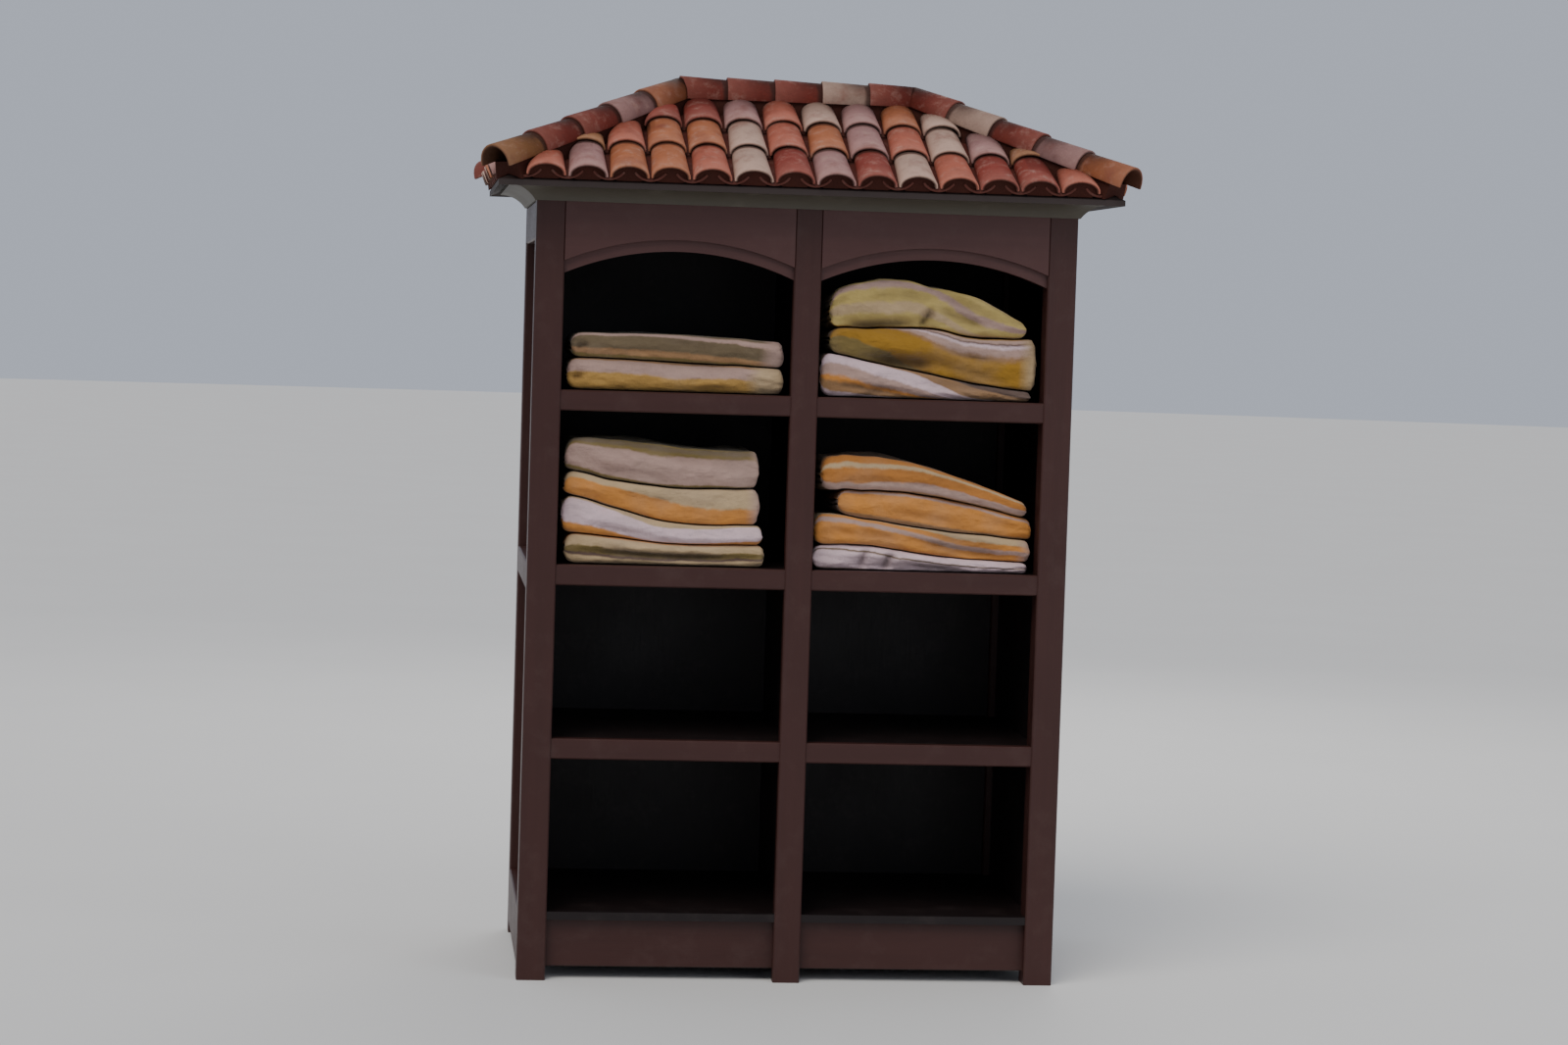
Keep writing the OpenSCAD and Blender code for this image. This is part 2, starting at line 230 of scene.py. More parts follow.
class Signal:
    """A shader socket that takes part in Python arithmetic."""

    def __init__(self, finish, socket):
        self.finish, self.socket = finish, socket

    def _maths(self, operation, *values, clamp=False):
        return self.finish.node("ShaderNodeMath", {"operation": operation, "use_clamp": clamp},
                                dict(enumerate(values)))

    def __add__(self, other):
        return self._maths("ADD", self, other)

    def __sub__(self, other):
        return self._maths("SUBTRACT", self, other)

    def __rsub__(self, other):
        return self._maths("SUBTRACT", other, self)

    def __mul__(self, other):
        return self._maths("MULTIPLY", self, other)

    def __truediv__(self, other):
        return self._maths("DIVIDE", self, other)

    __radd__ = __add__
    __rmul__ = __mul__

    def clamped(self):
        return self._maths("ADD", self, 0.0, clamp=True)

    def step(self, low, high):
        """0 below low, 1 above high, and a straight run between."""
        return ((self - low) / (high - low)).clamped()


class Finish:
    """A material under construction, with one method for every kind of node."""

    def __init__(self, name):
        self.material = bpy.data.materials.new(name)
        self.material.use_nodes = True
        self.tree = self.material.node_tree
        self.tree.nodes.clear()

    def node(self, kind, settings=None, sockets=None, output=0):
        """Adds a node: its settings first, then the values or links of its sockets."""
        made = self.tree.nodes.new(kind)
        for name, value in (settings or {}).items():
            if name == "stops":
                ramp = made.color_ramp
                while len(ramp.elements) < len(value):
                    ramp.elements.new(1.0)
                for element, (place, colour) in zip(ramp.elements, value):
                    element.position, element.color = place, (*colour, 1.0)
            elif name == "ramp":
                made.color_ramp.interpolation = value
            else:
                setattr(made, name, value)
        for name, value in (sockets or {}).items():
            if isinstance(value, Signal):
                self.tree.links.new(value.socket, made.inputs[name])
            else:
                made.inputs[name].default_value = value
        return Signal(self, made.outputs[output])

    def noise(self, scale, detail=3.0, rough=0.5, stretch=(1, 1, 1), shift=(0, 0, 0)):
        """Noise on Object coordinates, which are stretched and shifted first."""
        coords = self.node("ShaderNodeTexCoord", output="Object")
        where = self.node("ShaderNodeMapping", {}, {"Vector": coords, "Scale": stretch, "Location": shift})
        return self.node("ShaderNodeTexNoise", {}, {"Vector": where, "Scale": scale, "Detail": detail,
                                                    "Roughness": rough}, "Fac")

    def mix(self, share, first, second):
        """Mixes two colours."""
        first, second = (value if isinstance(value, Signal) else (*value, 1.0) for value in (first, second))
        return self.node("ShaderNodeMix", {"data_type": "RGBA"}, {0: share, 6: first, 7: second}, 2)

    def shaded(self, colour, by):
        """The colour made lighter or darker by a number around 1."""
        plain = colour if isinstance(colour, Signal) else tuple(colour)
        return self.node("ShaderNodeVectorMath", {"operation": "SCALE"}, {0: plain, "Scale": by})

    def attribute(self, name):
        return self.node("ShaderNodeAttribute", {"attribute_name": name}, {}, "Fac")

    def bump(self, height, distance, strength=1.0, under=None):
        sockets = {"Height": height, "Distance": distance, "Strength": strength}
        if under is not None:
            sockets["Normal"] = under
        return self.node("ShaderNodeBump", {}, sockets)

    def done(self, **sockets):
        """Ends the material in a Principled surface."""
        surface = self.node("ShaderNodeBsdfPrincipled", {},
                            {name.replace("_", " "): value for name, value in sockets.items()})
        end = self.tree.nodes.new("ShaderNodeOutputMaterial")
        self.tree.links.new(surface.socket, end.inputs["Surface"])
        return self.material


# Settings

def colour_setting(name, description, default):
    return bpy.props.FloatVectorProperty(name=name, description=description, default=default, size=3,
                                         min=0.0, max=1.0, subtype="COLOR")


def length_setting(name, description, default):
    return bpy.props.FloatProperty(name=name, description=description, default=default, min=0.0,
                                   unit="LENGTH", subtype="DISTANCE", precision=4)


class TowelHutCabinet(bpy.types.PropertyGroup):
    """Colours of the cabinet."""
    lumber: colour_setting("Lumber", "Colour of the plastic lumber frame", (0.0445, 0.0155, 0.0128))
    # The arched heads take the frame's lumber made lighter: painted light against the shade under the
    # moulding.
    heads: colour_setting("Arched heads", "Colour of the heads under the moulding", (0.071, 0.029, 0.026))
    sheet: colour_setting("Sheets", "Colour of the outer faces of the sheets", (0.032, 0.014, 0.013))
    # The inside colour is the sheet painted near black: painted shade of the cabinet's interior.
    inside: colour_setting("Inside", "Colour of the shelves and the inner faces", (0.009, 0.0048, 0.0048))
    moulding: colour_setting("Moulding", "Colour of the cove under the eaves", (0.055, 0.046, 0.032))
    boarding: colour_setting("Boarding", "Colour of the roof boarding", (0.022, 0.011, 0.009))
    grain: bpy.props.FloatProperty(name="Grain", description="Strength of the grain in the lumber",
                                   default=0.5, min=0.0, max=1.0, subtype="FACTOR")


class TowelHutRoof(bpy.types.PropertyGroup):
    """Sizes and colours of the tiles and caps."""
    courses: bpy.props.IntProperty(name="Courses", description="Courses of tiles on each slope", default=3,
                                   min=2, max=5)
    cover_half: length_setting("Cover half width", "Half the width of a cover tile's lower end", 0.0455)
    cover_length: length_setting("Cover length", "Length of a cover tile", 0.205)
    tile_wall: length_setting("Tile wall", "Thickness of the fired clay", 0.007)
    seed: bpy.props.IntProperty(name="Tile order", default=31,
                                description="Seed of the mix of tile colours")
    terracotta: colour_setting("Terracotta", "Deep red tiles", (0.235, 0.040, 0.027))
    salmon: colour_setting("Salmon", "Light red tiles", (0.400, 0.108, 0.066))
    orange: colour_setting("Orange", "Orange tiles", (0.390, 0.125, 0.052))
    ochre: colour_setting("Ochre", "Ochre tiles", (0.300, 0.130, 0.050))
    mauve: colour_setting("Mauve", "Greyish pink tiles", (0.360, 0.190, 0.175))
    cream: colour_setting("Cream", "Pale tiles", (0.470, 0.308, 0.238))
    # The mortar colour is darkened past its red tint as painted shade of the eave and hip ends.
    mortar: colour_setting("Mortar", "Mortar under the caps and in the eaves", (0.042, 0.0115, 0.0075))


class TowelHutTowels(bpy.types.PropertyGroup):
    """Colours of the woven stripes."""
    gold: colour_setting("Gold", "Gold stripes", (0.39, 0.225, 0.062))
    mustard: colour_setting("Mustard", "Deep yellow stripes", (0.29, 0.150, 0.018))
    orange: colour_setting("Orange", "Orange stripes", (0.49, 0.200, 0.044))
    # A darker copy of the orange: painted shade on the top towel of the middle right pile.
    orange_in_shade: colour_setting("Amber", "Darker orange stripes", (0.38, 0.150, 0.034))
    khaki: colour_setting("Khaki", "Khaki stripes", (0.135, 0.098, 0.056))
    olive: colour_setting("Olive", "Olive stripes", (0.170, 0.120, 0.040))
    tan: colour_setting("Tan", "Tan stripes", (0.27, 0.15, 0.070))
    brown: colour_setting("Brown", "Thin dark lines", (0.090, 0.055, 0.045))
    white: colour_setting("White", "White stripes", (0.58, 0.43, 0.455))
    dusty: colour_setting("Dusty", "Greyish pink stripes", (0.37, 0.245, 0.205))
    cream: colour_setting("Cream", "Cream stripes", (0.42, 0.30, 0.17))
    yellow: colour_setting("Yellow", "Pale yellow stripes", (0.43, 0.32, 0.11))


class TowelHutStage(bpy.types.PropertyGroup):
    """Floor, light and camera."""
    floor: colour_setting("Floor", "Colour of the plain floor", (0.66, 0.65, 0.63))
    camera_x: length_setting("Camera offset", "How far the camera stands to the left of the middle", 0.94)
    camera_distance: length_setting("Camera distance", "From the camera to the middle of the hut", 8.5)
    camera_height: length_setting("Eye level", "Height of the camera above the floor", 1.57)
    lens: bpy.props.FloatProperty(name="Lens", description="Focal length", default=80.0, unit="CAMERA")
    roll: bpy.props.FloatProperty(name="Roll", description="Sideways tilt of the camera",
                                  default=math.radians(1.8), subtype="ANGLE")
    sun_strength: bpy.props.FloatProperty(name="Sun", description="Strength of the soft sun", default=1.9,
                                          min=0.0)
    fill_power: bpy.props.FloatProperty(name="Fill light", description="Power of the fill lamp",
                                        default=75.0, min=0.0, unit="POWER")


# Materials of the cabinet

FRAME_GLOSS = 0.04


def lumber_finish(name, colour, grain, along, gloss=0.0, inner=None):
    """Plastic lumber grained along x, y or z. Inside the outer sheets it takes the inner colour, which
    darkens the cabinet's interior as painted shade.
    """
    made = Finish(name)
    stretch = {"x": (0.05, 1, 1), "y": (1, 0.05, 1), "z": (1, 1, 0.05)}[along]
    fibres = made.noise(260.0, 4.0, 0.6, stretch)
    bands = made.noise(38.0, 3.0, 0.55, stretch)
    cloud = made.noise(3.5)
    chalk = made.noise(14.0, 5.0, 0.7, shift=(4, 1, 7))
    tone = 0.80 + 0.30 * bands + 0.16 * grain * (fibres - 0.5) + 0.20 * (cloud - 0.5)
    # Faces inside the outer sheets take the inner colour, as painted shade.
    if inner:
        coords = made.node("ShaderNodeTexCoord", output="Object")
        x, y = (made.node("ShaderNodeSeparateXYZ", {}, {"Vector": coords}, axis) for axis in (0, 1))
        outer = ((x * x).step(SHEET_X ** 2, (SHEET_X + 0.001) ** 2)
                 + (y * y).step(SHEET_Y ** 2, (SHEET_Y + 0.001) ** 2)).clamped()
        colour = made.mix(outer, inner, colour)
    body = made.shaded(colour, tone)
    dusty = made.mix(0.06 * chalk.step(0.52, 0.78), body, (0.22, 0.17, 0.15))
    relief = made.bump(0.65 * fibres + 0.35 * bands, 0.0009, 0.55 * grain + 0.1)
    rough = 0.47 - gloss + 0.22 * (cloud - 0.5) + 0.18 * (fibres - 0.5)
    return made.done(Base_Color=dusty, Roughness=rough, Specular_IOR_Level=0.3, Normal=relief)


def moulding_finish(colour):
    """Weathered grey-olive moulding, streaked by run-off."""
    made = Finish("moulding_grey")
    across = made.noise(42.0, 4.0, 0.6, stretch=(1, 1, 0.12))
    cloud = made.noise(5.0, 4.0, 0.55)
    grit = made.noise(320.0, 2.0, 0.6)
    body = made.shaded(colour, 0.74 + 0.34 * cloud + 0.22 * across)
    stained = made.mix(0.55 * across.step(0.55, 0.8), body, (0.055, 0.042, 0.034))
    bleached = made.mix(0.35 * cloud.step(0.55, 0.75), stained, (0.20, 0.185, 0.15))
    return made.done(Base_Color=bleached, Roughness=0.58 + 0.2 * (cloud - 0.5),
                     Normal=made.bump(grit + 0.8 * across, 0.0006, 0.5))


def boarding_finish(colour):
    """Stained roof boarding."""
    made = Finish("boarding_stained")
    grain = made.noise(90.0, 5.0, 0.65, stretch=(0.06, 1, 1))
    cloud = made.noise(6.0)
    body = made.shaded(colour, 0.6 + 0.5 * grain + 0.3 * cloud)
    return made.done(Base_Color=body, Roughness=0.7 + 0.15 * (grain - 0.5),
                     Normal=made.bump(grain, 0.0008, 0.5))


def dress(nodes, material):
    """Gives CAD nodes a finish in place of their plain one."""
    for name in nodes:
        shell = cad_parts[name]
        for slot in shell.material_slots:
            slot.material = material
        if not shell.material_slots:
            shell.data.materials.append(material)


class TOWELHUT_OT_cabinet(bpy.types.Operator):
    """Finish the frame, sheets, shelves, moulding and boarding of the cabinet"""
    bl_idname = "towelhut.cabinet"
    bl_label = "Cabinet Finishes"
    bl_options = {"REGISTER", "UNDO"}

    def execute(self, context):
        look = context.scene.towelhut_cabinet
        upright = lumber_finish("lumber_upright", look.lumber, look.grain, "z", FRAME_GLOSS)
        across = lumber_finish("lumber_across", look.lumber, look.grain, "x", FRAME_GLOSS)
        # A lighter copy of the lumber for the heads, as painted light.
        heads = lumber_finish("lumber_heads", look.heads, look.grain, "x", FRAME_GLOSS)
        deep = lumber_finish("lumber_deep", look.lumber, look.grain, "y", FRAME_GLOSS)
        # The inner faces of the sheets and all the shelves get the near-black inside colour as painted shade.
        sheet = lumber_finish("sheet_grooved", look.sheet, look.grain, "z", inner=look.inside)
        shelf = lumber_finish("shelf_boards", look.inside, look.grain, "x")
        dress(["front_post_left", "front_post_right", "back_post_left", "back_post_right",
               "front_centre_stile", "back_centre_stile"], upright)
        dress(["shelf_rails_lower", "shelf_rails_middle", "shelf_rails_upper", "plinth_rails",
               "back_rails"], across)
        dress(["arched_head_left", "arched_head_right"], heads)
        dress(["side_rails_left", "side_rails_right", "shelf_cleats_left", "shelf_cleats_right"], deep)
        dress(["side_panel_left", "side_panel_right", "back_panel", "centre_divider"], sheet)
        dress([f"shelf_{level}_{side}" for level in LEVELS for side in SIDES] + ["ceiling_panel"], shelf)
        dress(["crown_front", "crown_back", "crown_left", "crown_right"], moulding_finish(look.moulding))
        dress(["deck_front", "deck_back", "deck_left", "deck_right"], boarding_finish(look.boarding))
        return {"FINISHED"}


# Roof tiles

BARREL_RIM = 0.002
COVER_LEGS = 0.004
COVER_TAPER = (0.007, 0.006)
COVER_LEAN = math.radians(1.0)
COURSE_LIFT = 0.0015
PAN_HALF = 0.038
# Half the arc of a pan, in degrees
PAN_ARC = 56
PAN_RIM = 0.0015
PAN_LEAN = math.radians(1.2)
PAN_LIFT = 0.0035
PAN_SETBACK = 0.010
MORTAR_DEPTH = 0.030
STOP_FOOT = 0.015
STOP_SETBACK = 0.014
STRIP_SETBACK = 0.006
STRIP_HEIGHT = SEAT - 0.003
# Pans have only the reddest tones
PAN_TONES = 0.09


def clay_finish(name, look, exposure, dark=1.0, crest=0.0):
    """Fired clay whose colour follows each tile's own tone, with painted shade towards and under the next
    tile's lap, painted shade in the hollows, a painted highlight near the lip, and random dirt.
    """
    made = Finish(name)
    tone = made.attribute("tone")
    blend = made.node("ShaderNodeValToRGB", {"ramp": "CONSTANT", "stops": [
        (0.0, look.terracotta), (0.10, look.salmon), (0.34, look.orange), (0.56, look.ochre),
        (0.66, look.mauve), (0.81, look.cream)]}, {"Fac": tone}, "Color")
    flame = made.noise(17.0, 4.0, 0.6)
    speck = made.noise(210.0, 3.0, 0.7)
    bloom = made.noise(34.0, 5.0, 0.7, shift=(3, 8, 2))
    length = made.attribute("along")
    # The tone varies at random and falls off towards the next tile's lap as painted shade.
    tint_and_lap_shade = dark * (0.72 + 0.50 * flame + 0.36 * (speck - 0.5) - 0.30 * length / exposure)
    fired = made.shaded(blend, tint_and_lap_shade)
    scorched = made.mix(0.5 * (1 - flame).step(0.52, 0.75), fired, (0.17, 0.034, 0.020))
    # Lime bloom at random, plus a painted highlight along the lower lip.
    bloom_and_lip_highlight = dark * (0.42 * bloom.step(0.52, 0.76) + 0.16 * (1 - length / 0.08).clamped())
    limed_and_lit = made.mix(bloom_and_lip_highlight, scorched, (0.46, 0.31, 0.25))
    along = length + 0.010 * (flame - 0.5)
    # A painted shadow line just below the next tile's lip; on the caps' crests the clay also darkens over a
    # wider band towards the lap.
    lapped = (0.9 * along.step(exposure - 0.015, exposure - 0.007)
              + crest * made.attribute("crest") * along.step(exposure - 0.080, exposure - 0.025))
    # Painted shade in the hollows and on the pans, the lap marks, and random dirt patches.
    dirt_and_painted_shade = (made.attribute("soot") + lapped + 0.35 * (1 - bloom).step(0.55, 0.8)).clamped()
    dirtied_and_shaded = made.mix(0.85 * dirt_and_painted_shade, limed_and_lit, (0.030, 0.011, 0.008))
    sand = made.bump(speck, 0.0012, 0.55)
    return made.done(Base_Color=dirtied_and_shaded, Roughness=0.74 + 0.2 * (flame - 0.5) + 0.12 * (speck - 0.5),
                     Specular_IOR_Level=0.15, Normal=made.bump(bloom, 0.0025, 0.35, sand))


def mortar_finish(colour):
    """Tinted mortar with sand in it, in a colour darkened partly as painted shade."""
    made = Finish("mortar_red")
    sand = made.noise(190.0, 4.0, 0.7)
    patch = made.noise(22.0)
    body = made.shaded(colour, 0.55 + 0.5 * sand + 0.5 * patch)
    return made.done(Base_Color=body, Roughness=0.86 + 0.1 * (patch - 0.5), Specular_IOR_Level=0.15,
                     Normal=made.bump(sand + patch, 0.002, 0.8))


def thicken(tile, wall, rim, steps):
    """Gives a bent tile its wall and its rounded rims."""
    face_outwards()
    modify(tile, "SOLIDIFY", thickness=wall, offset=-1.0)
    modify(tile, "BEVEL", width=rim, segments=steps, limit_method="ANGLE", angle_limit=math.radians(50))
    smooth(tile)


def barrel(length, low, high, wall, legs):
    """A tapered half barrel along Y on short legs, its lower end at y = 0.

    low and high hold half the width and the rise at the lower and at the upper end.
    """
    tile = tube(28, 1.0, length)
    pick(tile, lambda co: co.z < -0.01)
    bpy.ops.mesh.delete(type="VERT")
    for (half, rise), y in ((low, 0.0), (high, length)):
        pick(tile, lambda co: abs(co.y - y) < 1e-4)
        bpy.ops.transform.resize(value=(half, 1.0, rise), center_override=(0, y, 0))
    pick(tile, lambda co: co.z < 1e-4)
    bpy.ops.mesh.extrude_region_move(TRANSFORM_OT_translate={"value": (0, 0, -legs)})
    thicken(tile, wall, BARREL_RIM, 2)

    def inside(co):
        share = co.y / length
        half, rise = (a + (b - a) * share for a, b in zip(low, high))
        return float(math.hypot(co.x / half, max(co.z, 0.0) / rise) < 1 - 0.6 * wall / half)

    # The inner face of the hollow gets painted shade.
    mark(tile, along=lambda co: co.y, soot=lambda co: 0.9 * inside(co),
         crest=lambda co: max(0.0, co.z / low[1]) ** 2)
    return tile


def trough(length, wall):
    """A pan tile along Y: a shallow trough that rests on z = 0."""
    radius = PAN_HALF / math.sin(math.radians(PAN_ARC))
    pan = tube(32, radius, length, radius)
    keep = radius * (1 - math.cos(math.radians(PAN_ARC + 1)))
    pick(pan, lambda co: co.z > keep)
    bpy.ops.mesh.delete(type="VERT")
    thicken(pan, wall, PAN_RIM, 1)
    # A pan gets painted shade all over, as it lies in the shade between the covers.
    mark(pan, along=lambda co: co.y, soot=lambda co: 0.8, crest=lambda co: 0.0)
    return pan


def eave_stop(half, rise):
    """Mortar that fills the open end of a cover at the eaves."""
    plug = tube(24, 1.0, MORTAR_DEPTH, ends="NGON")
    bpy.ops.transform.resize(value=(half, 1.0, rise), center_override=(0, 0, 0))
    bpy.ops.mesh.bisect(plane_co=(0, 0, -STOP_FOOT), plane_no=(0, 0, -1), use_fill=True, clear_outer=True)
    clear_selection()
    smooth(plug)
    return plug


def eave_strip(rows, place):
    """Mortar under the pans along the eaves, rough on its face."""
    bpy.ops.mesh.primitive_grid_add(x_subdivisions=12 * rows, y_subdivisions=1, size=1.0,
                                    location=(0, 0.5, 0))
    strip = bpy.context.active_object
    strip.scale = (2 * (rows + 0.5) * TILE_PITCH, MORTAR_DEPTH, 1)
    settle(strip)
    edit(strip)
    bpy.ops.mesh.extrude_region_move(TRANSFORM_OT_translate={"value": (0, 0, STRIP_HEIGHT)})
    bpy.ops.mesh.select_all(action="SELECT")
    bpy.ops.mesh.bisect(plane_co=(0, 0, 0.5 * SEAT), plane_no=(0, 0, 1))
    face_outwards()
    for vert in strip.data.vertices:
        vert.co.y += 0.003 * noise.noise(Vector((vert.co.x * 34, vert.co.z * 60, rows)))
    strip.matrix_world = place
    settle(strip)
    return strip


def slope_tiles(name, turn, ridge_shift, top_half, rows, look, rng):
    """One slope of pans and covers, cut back along the hips and the ridge.

    A cover of which the hip leaves less than LEAST_COVER isn't laid.
    """
    wall = look.tile_wall
    half, rise = look.cover_half, COVER_TOP - SEAT
    narrow = (half - COVER_TAPER[0], rise - COVER_TAPER[1])
    cover = barrel(look.cover_length, (half, rise), narrow, wall, COVER_LEGS)
    pan = trough(look.cover_length, wall - 0.001)
    plug = eave_stop(half - wall, rise - wall)
    slope = Matrix.Translation((0, 0, DECK_APEX)) @ Matrix.Rotation(PITCH, 4, "X")
    exposure = SLOPE_LENGTH / look.courses
    clay, stops = [], []
    for course in range(look.courses):
        lip = -SLOPE_LENGTH + course * exposure
        for i in range(-rows, rows):
            x = (i + 0.5) * TILE_PITCH
            lean = Matrix.Rotation(-COVER_LEAN + rng.uniform(-0.005, 0.003), 4, "X")
            twist = Matrix.Rotation(rng.uniform(-0.012, 0.012), 4, "Z")
            spot = (x + rng.uniform(-0.0008, 0.0008), lip + rng.uniform(0.0, 0.005),
                    SEAT + COURSE_LIFT * course)
            tone = rng.random()
            if abs(x) - half < top_half - lip * math.cos(PITCH) - LEAST_COVER:
                piece = copied(cover, slope @ Matrix.Translation(spot) @ twist @ lean)
                mark(piece, tone=lambda co: tone)
                clay.append(piece)
            if course == 0:
                spot = (x, lip + STOP_SETBACK, SEAT - 0.001)
                stops.append(copied(plug, slope @ Matrix.Translation(spot)))
        for i in range(-rows, rows + 1):
            lean = Matrix.Rotation(-PAN_LEAN, 4, "X")
            spot = (i * TILE_PITCH, lip + PAN_SETBACK + rng.uniform(0.0, 0.002), PAN_LIFT)
            piece = copied(pan, slope @ Matrix.Translation(spot) @ lean)
            tone = PAN_TONES * rng.random()
            mark(piece, tone=lambda co: tone)
            clay.append(piece)
    stops.append(eave_strip(rows, slope @ Matrix.Translation((0, STRIP_SETBACK - SLOPE_LENGTH, 0.001))))
    for spare in (cover, pan, plug):
        discard(spare)
    tiles = joined(clay, name)
    fill = joined(stops, name + "_stops")
    for piece in (tiles, fill):
        for side in (-1, 1):
            cut(piece, (side * top_half, 0, 0), (side, 1, 0))
        cut(piece, (0, -BED_HALF, 0), (0, 1, 0))
        piece.matrix_world = turn_z(turn) @ Matrix.Translation((0, -ridge_shift, 0))
        settle(piece)
    return tiles, fill


class TOWELHUT_OT_tiles(bpy.types.Operator):
    """Lay the pan and cover tiles on the four slopes"""
    bl_idname = "towelhut.tiles"
    bl_label = "Roof Tiles"
    bl_options = {"REGISTER", "UNDO"}

    def execute(self, context):
        look = context.scene.towelhut_roof
        rng = random.Random(look.seed)
        clay = clay_finish("clay_tiles", look, SLOPE_LENGTH / look.courses)
        mortar = mortar_finish(look.mortar)
        long_half, end_half = RIDGE_HALF - HIP_INSET, -HIP_INSET
        for side, turn, shift, top_half, rows in (
                ("front", 0, 0.0, long_half, 7), ("back", 180, 0.0, long_half, 7),
                ("right", 90, RIDGE_HALF, end_half, 4), ("left", -90, RIDGE_HALF, end_half, 4)):
            tiles, fill = slope_tiles("barrel_tiles_" + side, turn, shift, top_half, rows, look, rng)
            for piece, finish in ((tiles, clay), (fill, mortar)):
                fit(piece, finish, "tiles_" + side)
        return {"FINISHED"}


# Ridge and hip caps

# Kinds of clay by their tone

KINDS = {"red": 0.05, "salmon": 0.22, "orange": 0.45, "ochre": 0.60, "mauve": 0.75, "cream": 0.92}

# The caps from the left end of the ridge and from the foot of each hip

RIDGE_KINDS = ("red", "red", "red", "cream", "red")
HIP_KINDS = {
    "front": {-1: ("ochre", "red", "red", "mauve", "orange"), 1: ("orange", "mauve", "red", "cream", "red")},
    "back": {-1: ("red", "salmon", "mauve", "red", "cream"), 1: ("mauve", "red", "ochre", "salmon", "red")},
}
CAP_WALL = 0.0075
CAP_LAP = 0.042
CAP_TAPER = 0.008
CAP_CREST = 1.3
RIDGE_LEGS, RIDGE_TINT = 0.012, 0.62
HIP_LEGS, HIP_TINT = 0.006, 0.66
# How far inside the corner of their box the hip caps end, and how far up from there the mortar starts
HIP_SHORT = 0.9 * CAP_RADIUS
HIP_BED_SETBACK = 0.035
# The underside and the top of the mortar, from the crest of the covers
BED_FOOT = 0.003 - (COVER_TOP - 0.002) / math.cos(PITCH)
BED_TOP = -CAP_SINK - 0.005
MITRE = math.tan(math.radians(22.5))


def cap_line(name, length, place, kinds, legs, rng):
    """Overlapping caps along Y, the first lip at y = 0. place takes the line to its spot on the roof."""
    step = length / len(kinds)
    narrow = CAP_RADIUS - CAP_TAPER
    cap = barrel(step + CAP_LAP, (CAP_RADIUS, CAP_RADIUS), (narrow, narrow), CAP_WALL, legs)
    line = []
    for i, kind in enumerate(kinds):
        lean = Matrix.Rotation(rng.uniform(-0.004, 0.004), 4, "X")
        twist = Matrix.Rotation(rng.uniform(-0.006, 0.006), 4, "Z")
        spot = Matrix.Translation((rng.uniform(-0.001, 0.001), i * step, 0))
        piece = copied(cap, spot @ (lean @ twist))
        mark(piece, tone=lambda co: KINDS[kind])
        line.append(piece)
    discard(cap)
    run = joined(line, name)
    run.matrix_world = place
    settle(run)
    return run


def mortar_bed(name, length, fall, place):
    """Rough mortar under a line of caps, along Y from y = 0, narrower at its top."""
    bpy.ops.mesh.primitive_cube_add(size=1.0, location=(0, length / 2, 0.5))
    bed = bpy.context.active_object
    bed.scale = (2 * BED_HALF, length, 1)
    settle(bed)
    edit(bed)
    bpy.ops.mesh.subdivide(number_cuts=9, smoothness=0.0)
    clear_selection()
    for vert in bed.data.vertices:
        x, y, share = vert.co
        wobble = noise.noise(Vector((x * 30, y * 30, share)))
        base = BED_FOOT - abs(x) * fall
        vert.co = (x * (1 - 0.14 * share), y, base + share * (BED_TOP - base) + 0.0015 * wobble)
    bed.name = name
    bed.matrix_world = place
    settle(bed)
    return bed


